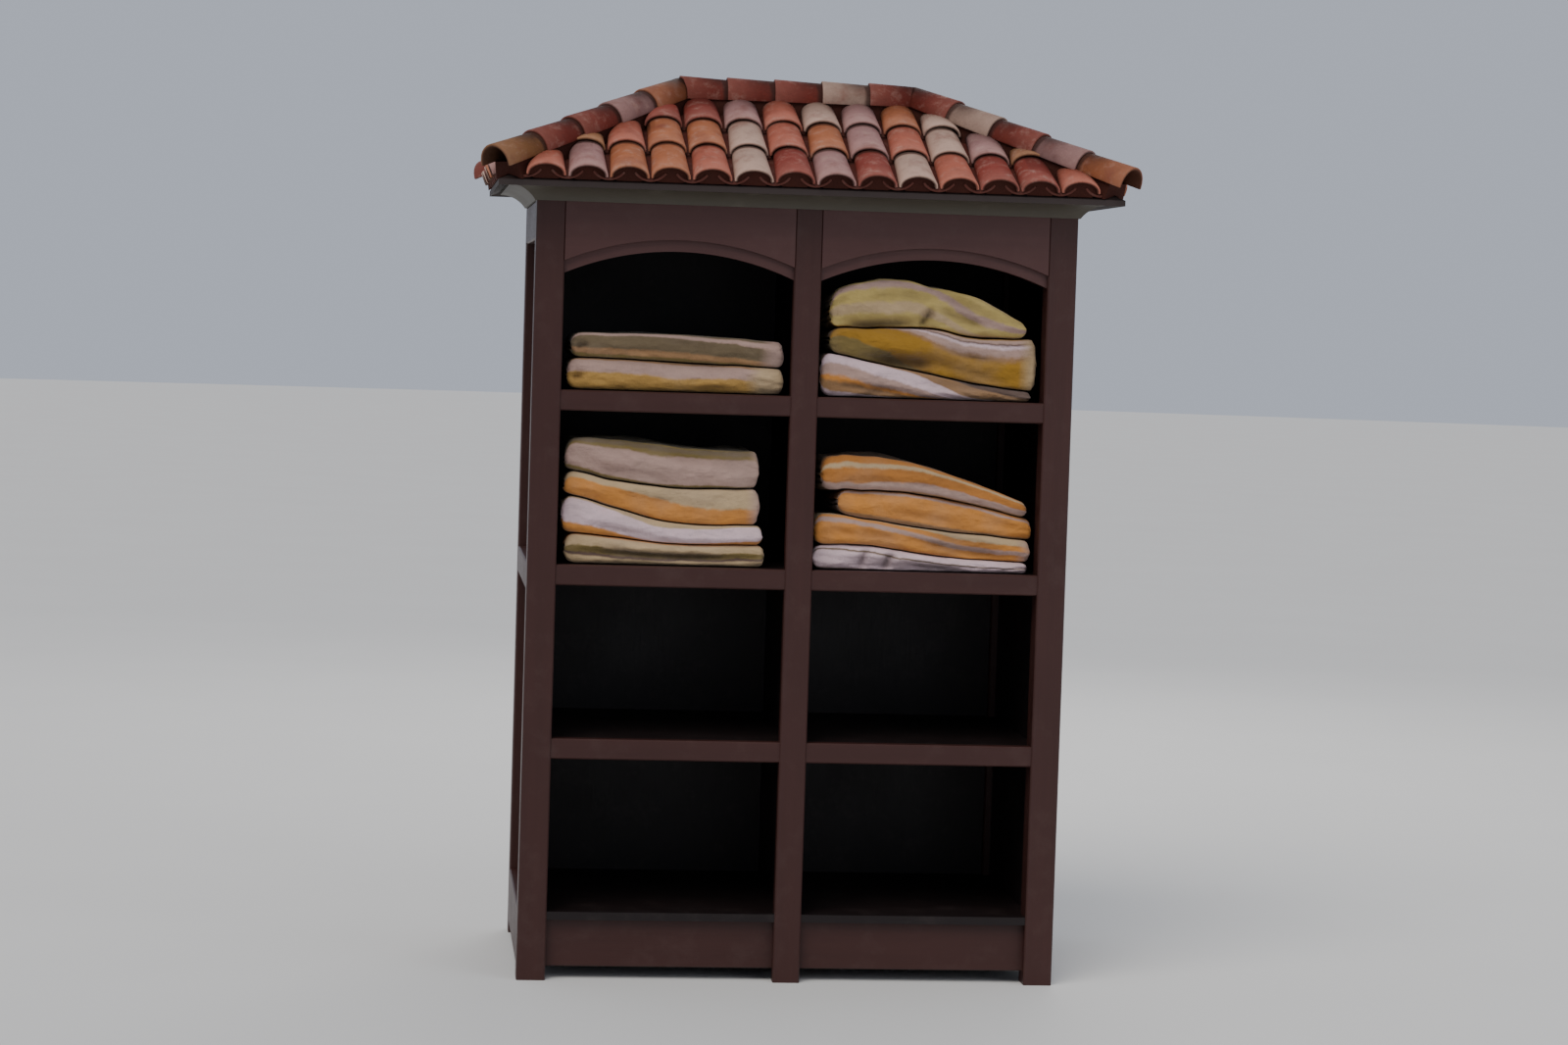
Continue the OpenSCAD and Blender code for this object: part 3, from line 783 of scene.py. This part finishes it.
class TOWELHUT_OT_caps(bpy.types.Operator):
    """Set the ridge and hip caps in their mortar"""
    bl_idname = "towelhut.caps"
    bl_label = "Ridge and Hip Caps"
    bl_options = {"REGISTER", "UNDO"}

    def execute(self, context):
        look = context.scene.towelhut_roof
        rng = random.Random(look.seed + 40)
        sunk = Matrix.Translation((0, 0, -CAP_SINK))
        along_ridge = Matrix.Translation((-RIDGE_HALF, 0, COVER_APEX)) @ turn_z(-90)
        ridge = cap_line("ridge_caps", 2 * RIDGE_HALF, along_ridge @ sunk, RIDGE_KINDS, RIDGE_LEGS, rng)
        cut(ridge, (RIDGE_HALF, 0, 0), (1, 0, 0))
        ridge_bed = mortar_bed("ridge_mortar", 2 * RIDGE_HALF, math.tan(PITCH), along_ridge)
        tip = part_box("hip_caps_front")[0]
        hip_length = (math.hypot(-tip.x - RIDGE_HALF, -tip.y) - HIP_SHORT) / math.cos(HIP_FALL)
        caps, beds = {"front": [], "back": []}, {"front": [], "back": []}
        for side in (-1, 1):
            top = Matrix.Translation((side * RIDGE_HALF, 0, COVER_APEX))
            for end, word in ((-1, "front"), (1, "back")):
                cut(ridge, (side * RIDGE_HALF, 0, 0), (side, end * MITRE, 0))
                heading = turn_z(math.degrees(math.atan2(end, side)) + 90)
                fall = Matrix.Rotation(HIP_FALL, 4, "X")
                foot = top @ heading @ fall @ Matrix.Translation((0, -hip_length, 0))
                run = cap_line(f"hip_{word}_{side}", hip_length, foot @ sunk, HIP_KINDS[word][side],
                               HIP_LEGS, rng)
                cut(run, (side * RIDGE_HALF, 0, 0), (-side, -end * MITRE, 0))
                cut(run, (0, 0, 0), (0, -end, 0))
                caps[word].append(run)
                start = Matrix.Translation((0, HIP_BED_SETBACK, 0))
                beds[word].append(mortar_bed(f"hip_bed_{word}_{side}", hip_length - HIP_BED_SETBACK,
                                             math.sin(HIP_FALL), foot @ start))
        clay = clay_finish("clay_ridge_caps", look, 2 * RIDGE_HALF / len(RIDGE_KINDS), RIDGE_TINT, CAP_CREST)
        mortar = mortar_finish(look.mortar)
        fit(ridge, clay, "ridge_cap")
        fit(ridge_bed, mortar, "ridge_cap")
        exposure = hip_length / len(HIP_KINDS["front"][1])
        clay = clay_finish("clay_hip_caps", look, exposure, HIP_TINT, CAP_CREST)
        for word in ("front", "back"):
            fit(joined(caps[word], "hip_caps_run_" + word), clay, "hip_caps_" + word)
            fit(joined(beds[word], "hip_mortar_" + word), mortar, "hip_caps_" + word)
        return {"FINISHED"}


# Folded towels

TOWEL_DEPTH = 0.340
TOWEL_SETBACK = 0.026
LAYER = 0.008
HALF_CLOTH = 0.32 * LAYER
BLOCK_HEIGHT = 9 * LAYER
BLOCK_LENGTH = 0.50
SHELF_GAP = 0.0012
TOWEL_GAP = 0.0008
LEFT_ROUNDING = 0.030
RIGHT_ROUNDING = 0.018
# The level that stays in place where an end is rounded
ROUNDING_LEVEL = 0.45
# How far behind the front fold the crumples and creases have faded out, and the room they have in front
FADE = 0.16
CRUMPLE_ROOM = 0.005
# The depth from which a crease is fully darkened with painted shade
DARK_CREASE = 0.02
# Steps of the three straight runs, of the inner fold and of the outer fold
ACROSS_STEPS = ((36, 36, 62), 6, 8)
DEEP_STEPS = ((16, 20, 20), 8, 18)


class Towel(NamedTuple):
    """A folded towel. Thickness and drift run through even places from its left end to its right.

    Stripes go from the bottom of the front fold (0) to its top (1), and drift lowers them. A crease is a line
    on the front fold: across and level of its two ends, width, depth. A hem is a colour and a share of the
    length at the right end.
    """
    length: float
    shift: float
    thickness: tuple
    stripes: tuple
    drift: tuple = (0.0, 0.0)
    crumple: float = 1.0
    creases: tuple = ()
    inset: float = 0.0
    hem: tuple = ("cream", 0.0)


# The level, side and slot of each pile, and its towels from the shelf up
PILES = {
    "towels_upper_left": ("upper", -1, "towel_gold", (
        Towel(0.515, 0.000, (0.074, 0.074, 0.070, 0.066, 0.062),
              ((-1, "tan"), (0.02, "gold"), (0.50, "dusty"), (0.84, "tan"), (1.05, "khaki")),
              drift=(-0.04, 0.02, 0.0), hem=("cream", 0.16),
              creases=((-0.26, 0.9, 0.26, 0.94, 0.006, 0.006), (0.05, 0.1, 0.20, 0.35, 0.010, 0.004),
                       (-0.245, 0.36, -0.215, 0.50, 0.007, 0.014))),
        Towel(0.506, 0.003, (0.056, 0.062, 0.066, 0.064, 0.062),
              ((-1, "olive"), (0.26, "tan"), (0.44, "khaki"), (0.80, "dusty"), (0.95, "khaki")),
              drift=(0.0, 0.06, 0.18), hem=("dusty", 0.10),
              creases=((-0.20, 0.35, 0.22, 0.30, 0.007, 0.005), (-0.05, 0.8, 0.12, 0.55, 0.012, 0.005),
                       (-0.240, 0.40, -0.205, 0.52, 0.007, 0.012))))),
    "towels_upper_right": ("upper", 1, "towel_gold", (
        Towel(0.510, -0.008, (0.104, 0.084, 0.062, 0.038, 0.024),
              ((-1, "white"), (0.24, "tan"), (0.42, "orange"), (0.50, "dusty"), (0.70, "white"),
               (1.02, "tan"), (1.50, "brown")),
              drift=(0.0, 0.08, 0.32, 0.80, 1.10), crumple=1.4,
              creases=((-0.25, 0.30, -0.02, 0.20, 0.009, 0.010), (-0.02, 0.72, 0.20, 0.9, 0.010, 0.008),
                       (-0.16, 0.0, -0.10, 0.28, 0.012, 0.008))),
        Towel(0.500, 0.008, (0.054, 0.086, 0.108, 0.110, 0.128),
              ((-1, "olive"), (0.06, "mustard"), (0.60, "tan"), (0.66, "dusty"), (0.78, "white"),
               (0.84, "brown"), (0.88, "dusty"), (1.0, "mustard")),
              drift=(-0.60, -0.35, 0.0, 0.06, 0.10), crumple=1.6,
              creases=((-0.15, 0.10, 0.03, 0.24, 0.016, 0.030), (0.02, 0.66, 0.17, 0.52, 0.007, 0.012),
                       (-0.02, 0.36, 0.20, 0.12, 0.014, 0.007)),
              hem=("cream", 0.07)),
        Towel(0.474, -0.006, (0.084, 0.112, 0.100, 0.094, 0.034),
              ((-1, "mustard"), (0.10, "yellow"), (0.36, "cream"), (0.52, "yellow"), (0.74, "dusty"),
               (0.90, "yellow"), (1.3, "cream")),
              drift=(0.0, 0.02, 0.05, 0.34, 0.45), crumple=2.4,
              creases=((-0.21, 0.06, -0.03, 0.10, 0.011, 0.020), (-0.03, 0.02, 0.01, 0.48, 0.010, 0.020),
                       (0.01, 0.48, 0.14, 0.30, 0.010, 0.014), (-0.16, 0.62, 0.0, 0.74, 0.012, 0.008),
                       (0.02, 0.86, 0.18, 0.58, 0.012, 0.009))))),
    "towels_middle_left": ("middle", -1, "towel_tan", (
        Towel(0.476, -0.014, (0.072, 0.064, 0.052, 0.050, 0.052),
              ((-1, "cream"), (0.34, "brown"), (0.42, "olive"), (0.58, "cream"), (0.94, "orange")),
              drift=(0.0, 0.04, 0.0), creases=((-0.24, 0.44, 0.20, 0.40, 0.008, 0.018),)),
        Towel(0.480, -0.022, (0.088, 0.072, 0.052, 0.046, 0.046),
              ((-1, "tan"), (0.06, "orange"), (0.38, "white"), (0.94, "cream")),
              drift=(0.0, 0.12, 0.30, 0.2, 0.1), creases=((-0.24, 0.34, 0.02, 0.20, 0.009, 0.006),)),
        Towel(0.466, -0.024, (0.056, 0.060, 0.078, 0.086, 0.088),
              ((-1, "dusty"), (0.04, "tan"), (0.14, "orange"), (0.70, "cream"), (0.98, "cream")),
              drift=(0.0, 0.02, 0.12, 0.22, 0.24), crumple=1.2,
              creases=((-0.22, 0.62, 0.10, 0.60, 0.008, 0.005), (0.0, 0.3, 0.2, 0.36, 0.009, 0.005)),
              hem=("dusty", 0.06)),
        Towel(0.462, -0.026, (0.072, 0.096, 0.098, 0.092, 0.086),
              ((-1, "khaki"), (0.10, "olive"), (0.18, "dusty"), (0.72, "olive"), (0.80, "khaki"),
               (0.94, "olive")),
              drift=(-0.08, 0.02, 0.06, 0.04, 0.04), crumple=1.3,
              creases=((-0.22, 0.30, 0.02, 0.18, 0.012, 0.007), (-0.05, 0.75, 0.18, 0.68, 0.012, 0.006)),
              hem=("dusty", 0.05)))),
    "towels_middle_right": ("middle", 1, "towel_tan", (
        Towel(0.520, -0.008, (0.056, 0.058, 0.042, 0.030, 0.026),
              ((-1, "dusty"), (0.10, "white"), (0.64, "khaki"), (0.70, "white"), (1.1, "dusty")),
              drift=(-0.10, 0.0, 0.10, 0.20, 0.20), crumple=1.9,
              creases=((-0.155, 0.05, -0.135, 0.85, 0.009, 0.014), (-0.10, 0.0, -0.07, 0.9, 0.010, 0.016),
                       (-0.06, 0.30, 0.10, 0.10, 0.010, 0.010))),
        Towel(0.524, -0.004, (0.071, 0.063, 0.061, 0.059, 0.053),
              ((-1, "tan"), (0.05, "orange"), (0.66, "dusty"), (0.80, "orange"), (0.96, "cream")),
              drift=(-0.04, 0.0, 0.12, 0.30, 0.34), crumple=1.5,
              creases=((-0.24, 0.45, -0.06, 0.40, 0.009, 0.008), (-0.05, 0.56, 0.22, 0.14, 0.012, 0.014),
                       (-0.02, 0.9, 0.20, 0.5, 0.012, 0.010)),
              hem=("dusty", 0.05)),
        Towel(0.470, 0.026, (0.056, 0.070, 0.078, 0.066, 0.050),
              ((-1, "dusty"), (0.10, "tan"), (0.24, "orange"), (0.80, "dusty"), (0.90, "orange")),
              drift=(0.0, 0.0, 0.10), crumple=1.3, inset=0.010,
              creases=((-0.10, 0.40, 0.14, 0.26, 0.010, 0.007),)),
        # The darker orange stripes of this towel are painted shade.
        Towel(0.500, -0.004, (0.084, 0.082, 0.068, 0.052, 0.036),
              ((-1, "tan"), (0.06, "dusty"), (0.34, "orange_in_shade"), (0.62, "cream"), (0.72, "orange_in_shade"),
               (1.2, "tan")),
              drift=(0.0, 0.02, -0.05, -0.08, -0.1), crumple=1.2,
              creases=((-0.23, 0.30, 0.10, 0.34, 0.008, 0.006), (-0.10, 0.66, 0.16, 0.70, 0.010, 0.005))))),
}


def fold_line(length, gap, straight, small, large):
    """Centre line of a strip folded in three, one end tucked inside, its layers one gap apart.

    Each point is its place, height, normal and distance along the strip. Also gives the distances where the
    outer fold starts and ends.
    """
    half = length / 2
    line = []

    def run(start, end, height, face, steps):
        for i in range(steps + 1):
            line.append((start + (end - start) * i / steps, height * gap, 0.0, face))

    def turn(centre, height, radius, first, steps):
        for i in range(1, steps):
            angle = math.radians(first - 180 * i / steps)
            across, up = math.cos(angle), math.sin(angle)
            line.append((centre + radius * gap * across, (height + radius * up) * gap, across, up))

    run(1.7 * gap - half, half - gap, 1.5, 1.0, straight[0])
    turn(half - gap, 1.0, 0.5, 90, small)
    run(half - gap, 1.5 * gap - half, 0.5, -1.0, straight[1])
    nose = len(line) - 1
    turn(1.5 * gap - half, 1.5, 1.0, -90, large)
    run(1.5 * gap - half, half - 0.6 * gap, 2.5, 1.0, straight[2])
    distances = [0.0]
    for before, after in zip(line, line[1:]):
        distances.append(distances[-1] + math.hypot(after[0] - before[0], after[1] - before[1]))
    start, end = distances[nose], distances[nose + large]
    return [(*point, distance) for point, distance in zip(line, distances)], start, end


def folded_block():
    """A towel folded in three both ways: one closed sheet in an even block, its big folds at -Y and -X."""
    across, _, _ = fold_line(BLOCK_LENGTH, LAYER, *ACROSS_STEPS)
    deep, nose_start, nose_end = fold_line(TOWEL_DEPTH, 3 * LAYER, *DEEP_STEPS)
    count_u, count_v = len(across), len(deep)
    points, cloth = [], []
    for face in (1, -1):
        for y, z, y_out, z_out, v in deep:
            for x, height, x_face, z_face, u in across:
                off = height - 1.5 * LAYER + face * HALF_CLOTH * z_face
                points.append((x + face * HALF_CLOTH * x_face, y + y_out * off, z + z_out * off))
                cloth.append((u, (v - nose_start) / (nose_end - nose_start)))
    faces = []
    top = count_u * count_v
    for j in range(count_v - 1):
        for i in range(count_u - 1):
            a = j * count_u + i
            faces.append((a, a + 1, a + 1 + count_u, a + count_u))
            faces.append((top + a, top + a + count_u, top + a + 1 + count_u, top + a + 1))
    last_row = (count_v - 1) * count_u
    border = (list(range(count_u)) + list(range(2 * count_u - 1, top, count_u))
              + list(range(top - 2, last_row - 1, -1)) + list(range(last_row - count_u, -1, -count_u)))
    faces += [(b, a, a + top, b + top) for a, b in zip(border, border[1:])]
    mesh = bpy.data.meshes.new("folded_block")
    mesh.from_pydata(points, [], faces)
    weave = mesh.uv_layers.new(name="cloth")
    weave.data.foreach_set("uv", [value for loop in mesh.loops for value in cloth[loop.vertex_index]])
    block = bpy.data.objects.new("folded_block", mesh)
    bpy.context.collection.objects.link(block)
    edit(block)
    face_outwards()
    return block, (across[-1][4], deep[-1][4])


def through(values, share):
    """Runs smoothly through evenly spaced values, for a share from -1 to 1."""
    last = len(values) - 1
    place = min(max((share + 1) / 2 * last, 0.0), last - 1e-6)
    i = int(place)
    t = place - i
    a, b, c, d = (values[min(max(j, 0), last)] for j in (i - 1, i, i + 1, i + 2))
    return b + t * ((c - a) + t * ((2 * a - 5 * b + 4 * c - d) + t * (3 * b - a - 3 * c + d))) / 2


def end_share(x, towel):
    """How much of its thickness a towel keeps towards its ends, rounder on the left."""
    reach = LEFT_ROUNDING if x < towel.shift else RIGHT_ROUNDING
    past = min(1.0, max(0.0, (abs(x - towel.shift) - (towel.length / 2 - reach)) / reach))
    return math.sqrt(1 - 0.88 * past ** 2.6)


def thickness(towel, k, x, y):
    wave = noise.noise(Vector((x * 7, y * 6, 3.7 * k + 1))) + 0.5 * noise.noise(Vector((x * 17, y * 13, k)))
    even = through(towel.thickness, (x - towel.shift) / (BLOCK_LENGTH / 2))
    return even * (1 + 0.045 * towel.crumple * wave)


def underside(pile, k, x, y):
    """Height of the underside of towel k above its shelf."""
    height = SHELF_GAP
    for lower, towel in enumerate(pile[:k]):
        height += thickness(towel, lower, x, y) * (0.92 + 0.08 * end_share(x, towel)) + TOWEL_GAP
    return height


def crease_depth(towel, x, level, thick):
    """How far the creases push the front fold in at a place, and how much painted shade they put on it."""
    push = shade = 0.0
    here = Vector((x, level * thick))
    for x1, level1, x2, level2, width, depth in towel.creases:
        start, end = Vector((x1, level1 * thick)), Vector((x2, level2 * thick))
        run = end - start
        share = min(1.0, max(0.0, (here - start).dot(run) / run.length_squared))
        away = (here - start - share * run).length / width
        near = math.exp(-away * away) * min(1.0, 0.15 + 3 * min(share, 1 - share))
        push += depth * near
        shade = max(shade, near * min(1.0, depth / DARK_CREASE))
    return push, shade


def pressed(block, pile, k, bay_x, shelf_z, seed):
    """Presses a copy of the folded block into its place in the pile."""
    piece = copied(block, Matrix())
    towel = pile[k]
    front = FRONT_Y + TOWEL_SETBACK + towel.inset
    nose = BLOCK_HEIGHT / 2
    flip = -1 if seed % 2 else 1
    hems, skews, shades = [], [], []
    for vert in piece.data.vertices:
        share = flip * vert.co.x / (BLOCK_LENGTH / 2)
        level = vert.co.z / BLOCK_HEIGHT
        x = towel.shift + share * towel.length / 2
        depth = vert.co.y + TOWEL_DEPTH / 2
        depth = 0.5 * depth if depth < nose else depth - 0.5 * nose
        fade = max(0.0, 1 - depth / FADE)
        thick = thickness(towel, k, x, front + depth)
        ripple = noise.noise(Vector((x * 8, level * 2.2, seed * 5.1)))
        ripple += 0.45 * noise.noise(Vector((x * 22 + level * 3, level * 5, seed * 2.3)))
        ripple += 0.28 * noise.noise(Vector((x * 44 - level * 5, level * 8, seed * 7.7)))
        push, shade = crease_depth(towel, x, level, thick)
        y = front + CRUMPLE_ROOM + depth + fade * (towel.crumple * (0.004 + 0.0050 * ripple) + push)
        x += 0.003 * noise.noise(Vector((y * 14, level * 3, seed)))
        kept = end_share(x, towel)
        thick = thickness(towel, k, x, y)
        bottom = shelf_z + underside(pile, k, x, y)
        vert.co = (bay_x + x, y, bottom + thick * (ROUNDING_LEVEL + (level - ROUNDING_LEVEL) * kept))
        hem_share = share + 0.05 * noise.noise(Vector((x * 9, level * 3, seed)))
        hem_share = (hem_share - 0.97 + 2 * towel.hem[1]) / 0.13
        hems.append(min(1.0, max(0.0, hem_share)) if towel.hem[1] else 0.0)
        skews.append(through(towel.drift, share))
        shades.append(shade * fade)
    write(piece, "hem", hems)
    write(piece, "skew", skews)
    write(piece, "shade", shades)
    return piece


def terry_finish(name, towel, look, seed):
    """Looped cotton with woven stripes along the folds, faded at random, with painted shade in the creases
    and across the folds.
    """
    made = Finish(name)
    cloth = made.node("ShaderNodeUVMap", {"uv_map": "cloth"})
    parts = made.node("ShaderNodeSeparateXYZ", {}, {"Vector": cloth}, 1)
    loops = made.noise(520.0, 2.0, 0.6)
    nap = made.noise(60.0, 4.0, 0.6, shift=(seed, 0, 0))
    worn = made.noise(9.0, shift=(0, seed, 0))
    folds = made.noise(17.0, stretch=(0.62, 1, 1.2), shift=(seed, 2, 5))
    place = (parts + made.attribute("skew") + 0.03 * (loops - 0.5) + 0.08 * (nap - 0.5)
             + 0.16 * (worn - 0.5) + 0.10 * (folds - 0.5) + 1.0) / 3.0
    stops = []
    for (start, colour), (_, before) in zip(towel.stripes, (towel.stripes[0], *towel.stripes)):
        stops.append(((start + 0.975) / 3, getattr(look, before)))
        stops.append(((start + 1.025) / 3, getattr(look, colour)))
    woven = made.node("ShaderNodeValToRGB", {"ramp": "LINEAR", "stops": stops[1:]}, {"Fac": place}, "Color")
    hemmed = made.mix(made.attribute("hem"), woven, getattr(look, towel.hem[0]))
    faded = made.mix(0.30 * worn.step(0.48, 0.72), hemmed, (0.22, 0.17, 0.14))
    # Creases darkened as painted shade.
    crease_shaded = made.mix(0.75 * made.attribute("shade"), faded, (0.045, 0.028, 0.020))
    # Wear, loops and nap mottle the cloth; the folds noise adds painted shade and light across the wrinkles.
    mottled_and_fold_shaded = made.shaded(crease_shaded, 0.46 + 0.30 * worn + 0.28 * loops + 0.26 * nap + 0.42 * folds)
    relief = made.bump(loops, 0.0022, 0.75, made.bump(nap, 0.004, 0.5, made.bump(folds, 0.026, 0.8)))
    return made.done(Base_Color=mottled_and_fold_shaded, Roughness=0.92, Normal=relief, Specular_IOR_Level=0.2,
                     Sheen_Weight=0.12, Sheen_Roughness=0.5)


class TOWELHUT_OT_towels(bpy.types.Operator):
    """Fold the towels and stack them on the upper shelves"""
    bl_idname = "towelhut.towels"
    bl_label = "Folded Towels"
    bl_options = {"REGISTER", "UNDO"}

    def execute(self, context):
        look = context.scene.towelhut_towels
        block, flat = folded_block()
        seed = 0
        for node, (level, side, slot, pile) in PILES.items():
            shelf = f"shelf_{level}_" + ("left" if side < 0 else "right")
            shelf_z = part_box(shelf)[1].z
            for k, towel in enumerate(pile):
                seed += 1
                piece = pressed(block, pile, k, side * BAY_X, shelf_z, seed)
                piece.name = piece.data.name = f"{node}_{k + 1}"
                terry = terry_finish(piece.name.replace("towels", "terry"), towel, look, seed)
                smooth(piece, 180)
                fit(piece, terry, node)
                flat[0] * towel.length / BLOCK_LENGTH
        discard(block)
        return {"FINISHED"}


# Floor, light and camera

FLOOR_RADIUS = 60.0
LIGHT_AIM = Vector((0.0, 0.0, 1.1))
CAMERA_AIM = Vector((0.0, 0.0, 1.075))


def lamp(name, kind, place, power, colour):
    """Adds a lamp that points at the middle of the hut."""
    bpy.ops.object.light_add(type=kind, location=place)
    light = bpy.context.active_object
    light.name = name
    light.data.energy = power
    light.data.color = colour
    light.rotation_euler = (LIGHT_AIM - Vector(place)).to_track_quat("-Z", "Y").to_euler()
    return light.data


def soft_lamp(name, place, power, colour):
    disk = lamp(name, "AREA", place, power, colour)
    disk.shape = "DISK"
    disk.size = 4.0


class TOWELHUT_OT_stage(bpy.types.Operator):
    """Set up the plain floor, the soft light and the camera"""
    bl_idname = "towelhut.stage"
    bl_label = "Stage"
    bl_options = {"REGISTER", "UNDO"}

    def execute(self, context):
        look = context.scene.towelhut_stage
        clear_selection()
        bpy.ops.mesh.primitive_circle_add(vertices=96, radius=FLOOR_RADIUS, fill_type="NGON")
        floor = bpy.context.active_object
        floor.name = "floor"
        made = Finish("floor_plain")
        plain = made.shaded(look.floor, 0.97 + 0.06 * made.noise(1.3, 4.0))
        floor.data.materials.append(made.done(Base_Color=plain, Roughness=0.85))
        world = bpy.data.worlds.new("soft_daylight")
        world.use_nodes = True
        backdrop = world.node_tree.nodes["Background"]
        backdrop.inputs["Color"].default_value = (0.76, 0.82, 0.95, 1.0)
        backdrop.inputs["Strength"].default_value = 0.6
        context.scene.world = world
        sun = lamp("soft_sun", "SUN", (-3.0, -4.5, 8.0), look.sun_strength, (1.0, 0.96, 0.90))
        sun.angle = math.radians(38)
        soft_lamp("fill_light", (4.6, -5.0, 2.6), look.fill_power, (0.93, 0.96, 1.0))
        soft_lamp("back_light", (1.5, 5.5, 4.6), look.fill_power * 1.6, (1.0, 0.98, 0.95))
        place = Vector((-look.camera_x, -look.camera_distance, look.camera_height))
        bpy.ops.object.camera_add(location=place)
        camera = bpy.context.active_object
        camera.name = "view_camera"
        turn = (CAMERA_AIM - place).to_track_quat("-Z", "Y").to_matrix().to_4x4()
        camera.matrix_world = Matrix.Translation(place) @ turn @ Matrix.Rotation(look.roll, 4, "Z")
        camera.data.lens = look.lens
        camera.data.sensor_width = 36.0
        camera.data.clip_end = 200.0
        context.scene.camera = camera
        return {"FINISHED"}


# The settings and the operators of each part of the hut

PARTS = {
    "towelhut_cabinet": (TowelHutCabinet, TOWELHUT_OT_cabinet),
    "towelhut_roof": (TowelHutRoof, TOWELHUT_OT_tiles, TOWELHUT_OT_caps),
    "towelhut_towels": (TowelHutTowels, TOWELHUT_OT_towels),
    "towelhut_stage": (TowelHutStage, TOWELHUT_OT_stage),
}


class TOWELHUT_PT_panel(bpy.types.Panel):
    """Lists the hut's pieces and their settings"""
    bl_idname = "TOWELHUT_PT_panel"
    bl_label = "Towel Hut"
    bl_space_type = "VIEW_3D"
    bl_region_type = "UI"
    bl_category = "Towel Hut"

    def draw(self, context):
        for name, (settings, *operators) in PARTS.items():
            box = self.layout.box()
            for setting in settings.__annotations__:
                box.prop(getattr(context.scene, name), setting)
            for operator in operators:
                box.operator(operator.bl_idname)


CLASSES = [kind for kinds in PARTS.values() for kind in kinds] + [TOWELHUT_PT_panel]


def register():
    for kind in CLASSES:
        bpy.utils.register_class(kind)
    for name, (settings, *_) in PARTS.items():
        setattr(bpy.types.Scene, name, bpy.props.PointerProperty(type=settings))


def unregister():
    for name in PARTS:
        delattr(bpy.types.Scene, name)
    for kind in reversed(CLASSES):
        bpy.utils.unregister_class(kind)


def main():
    register()
    for make in (bpy.ops.towelhut.cabinet, bpy.ops.towelhut.tiles, bpy.ops.towelhut.caps,
                 bpy.ops.towelhut.towels, bpy.ops.towelhut.stage):
        make()


if __name__ == "__main__":
    main()
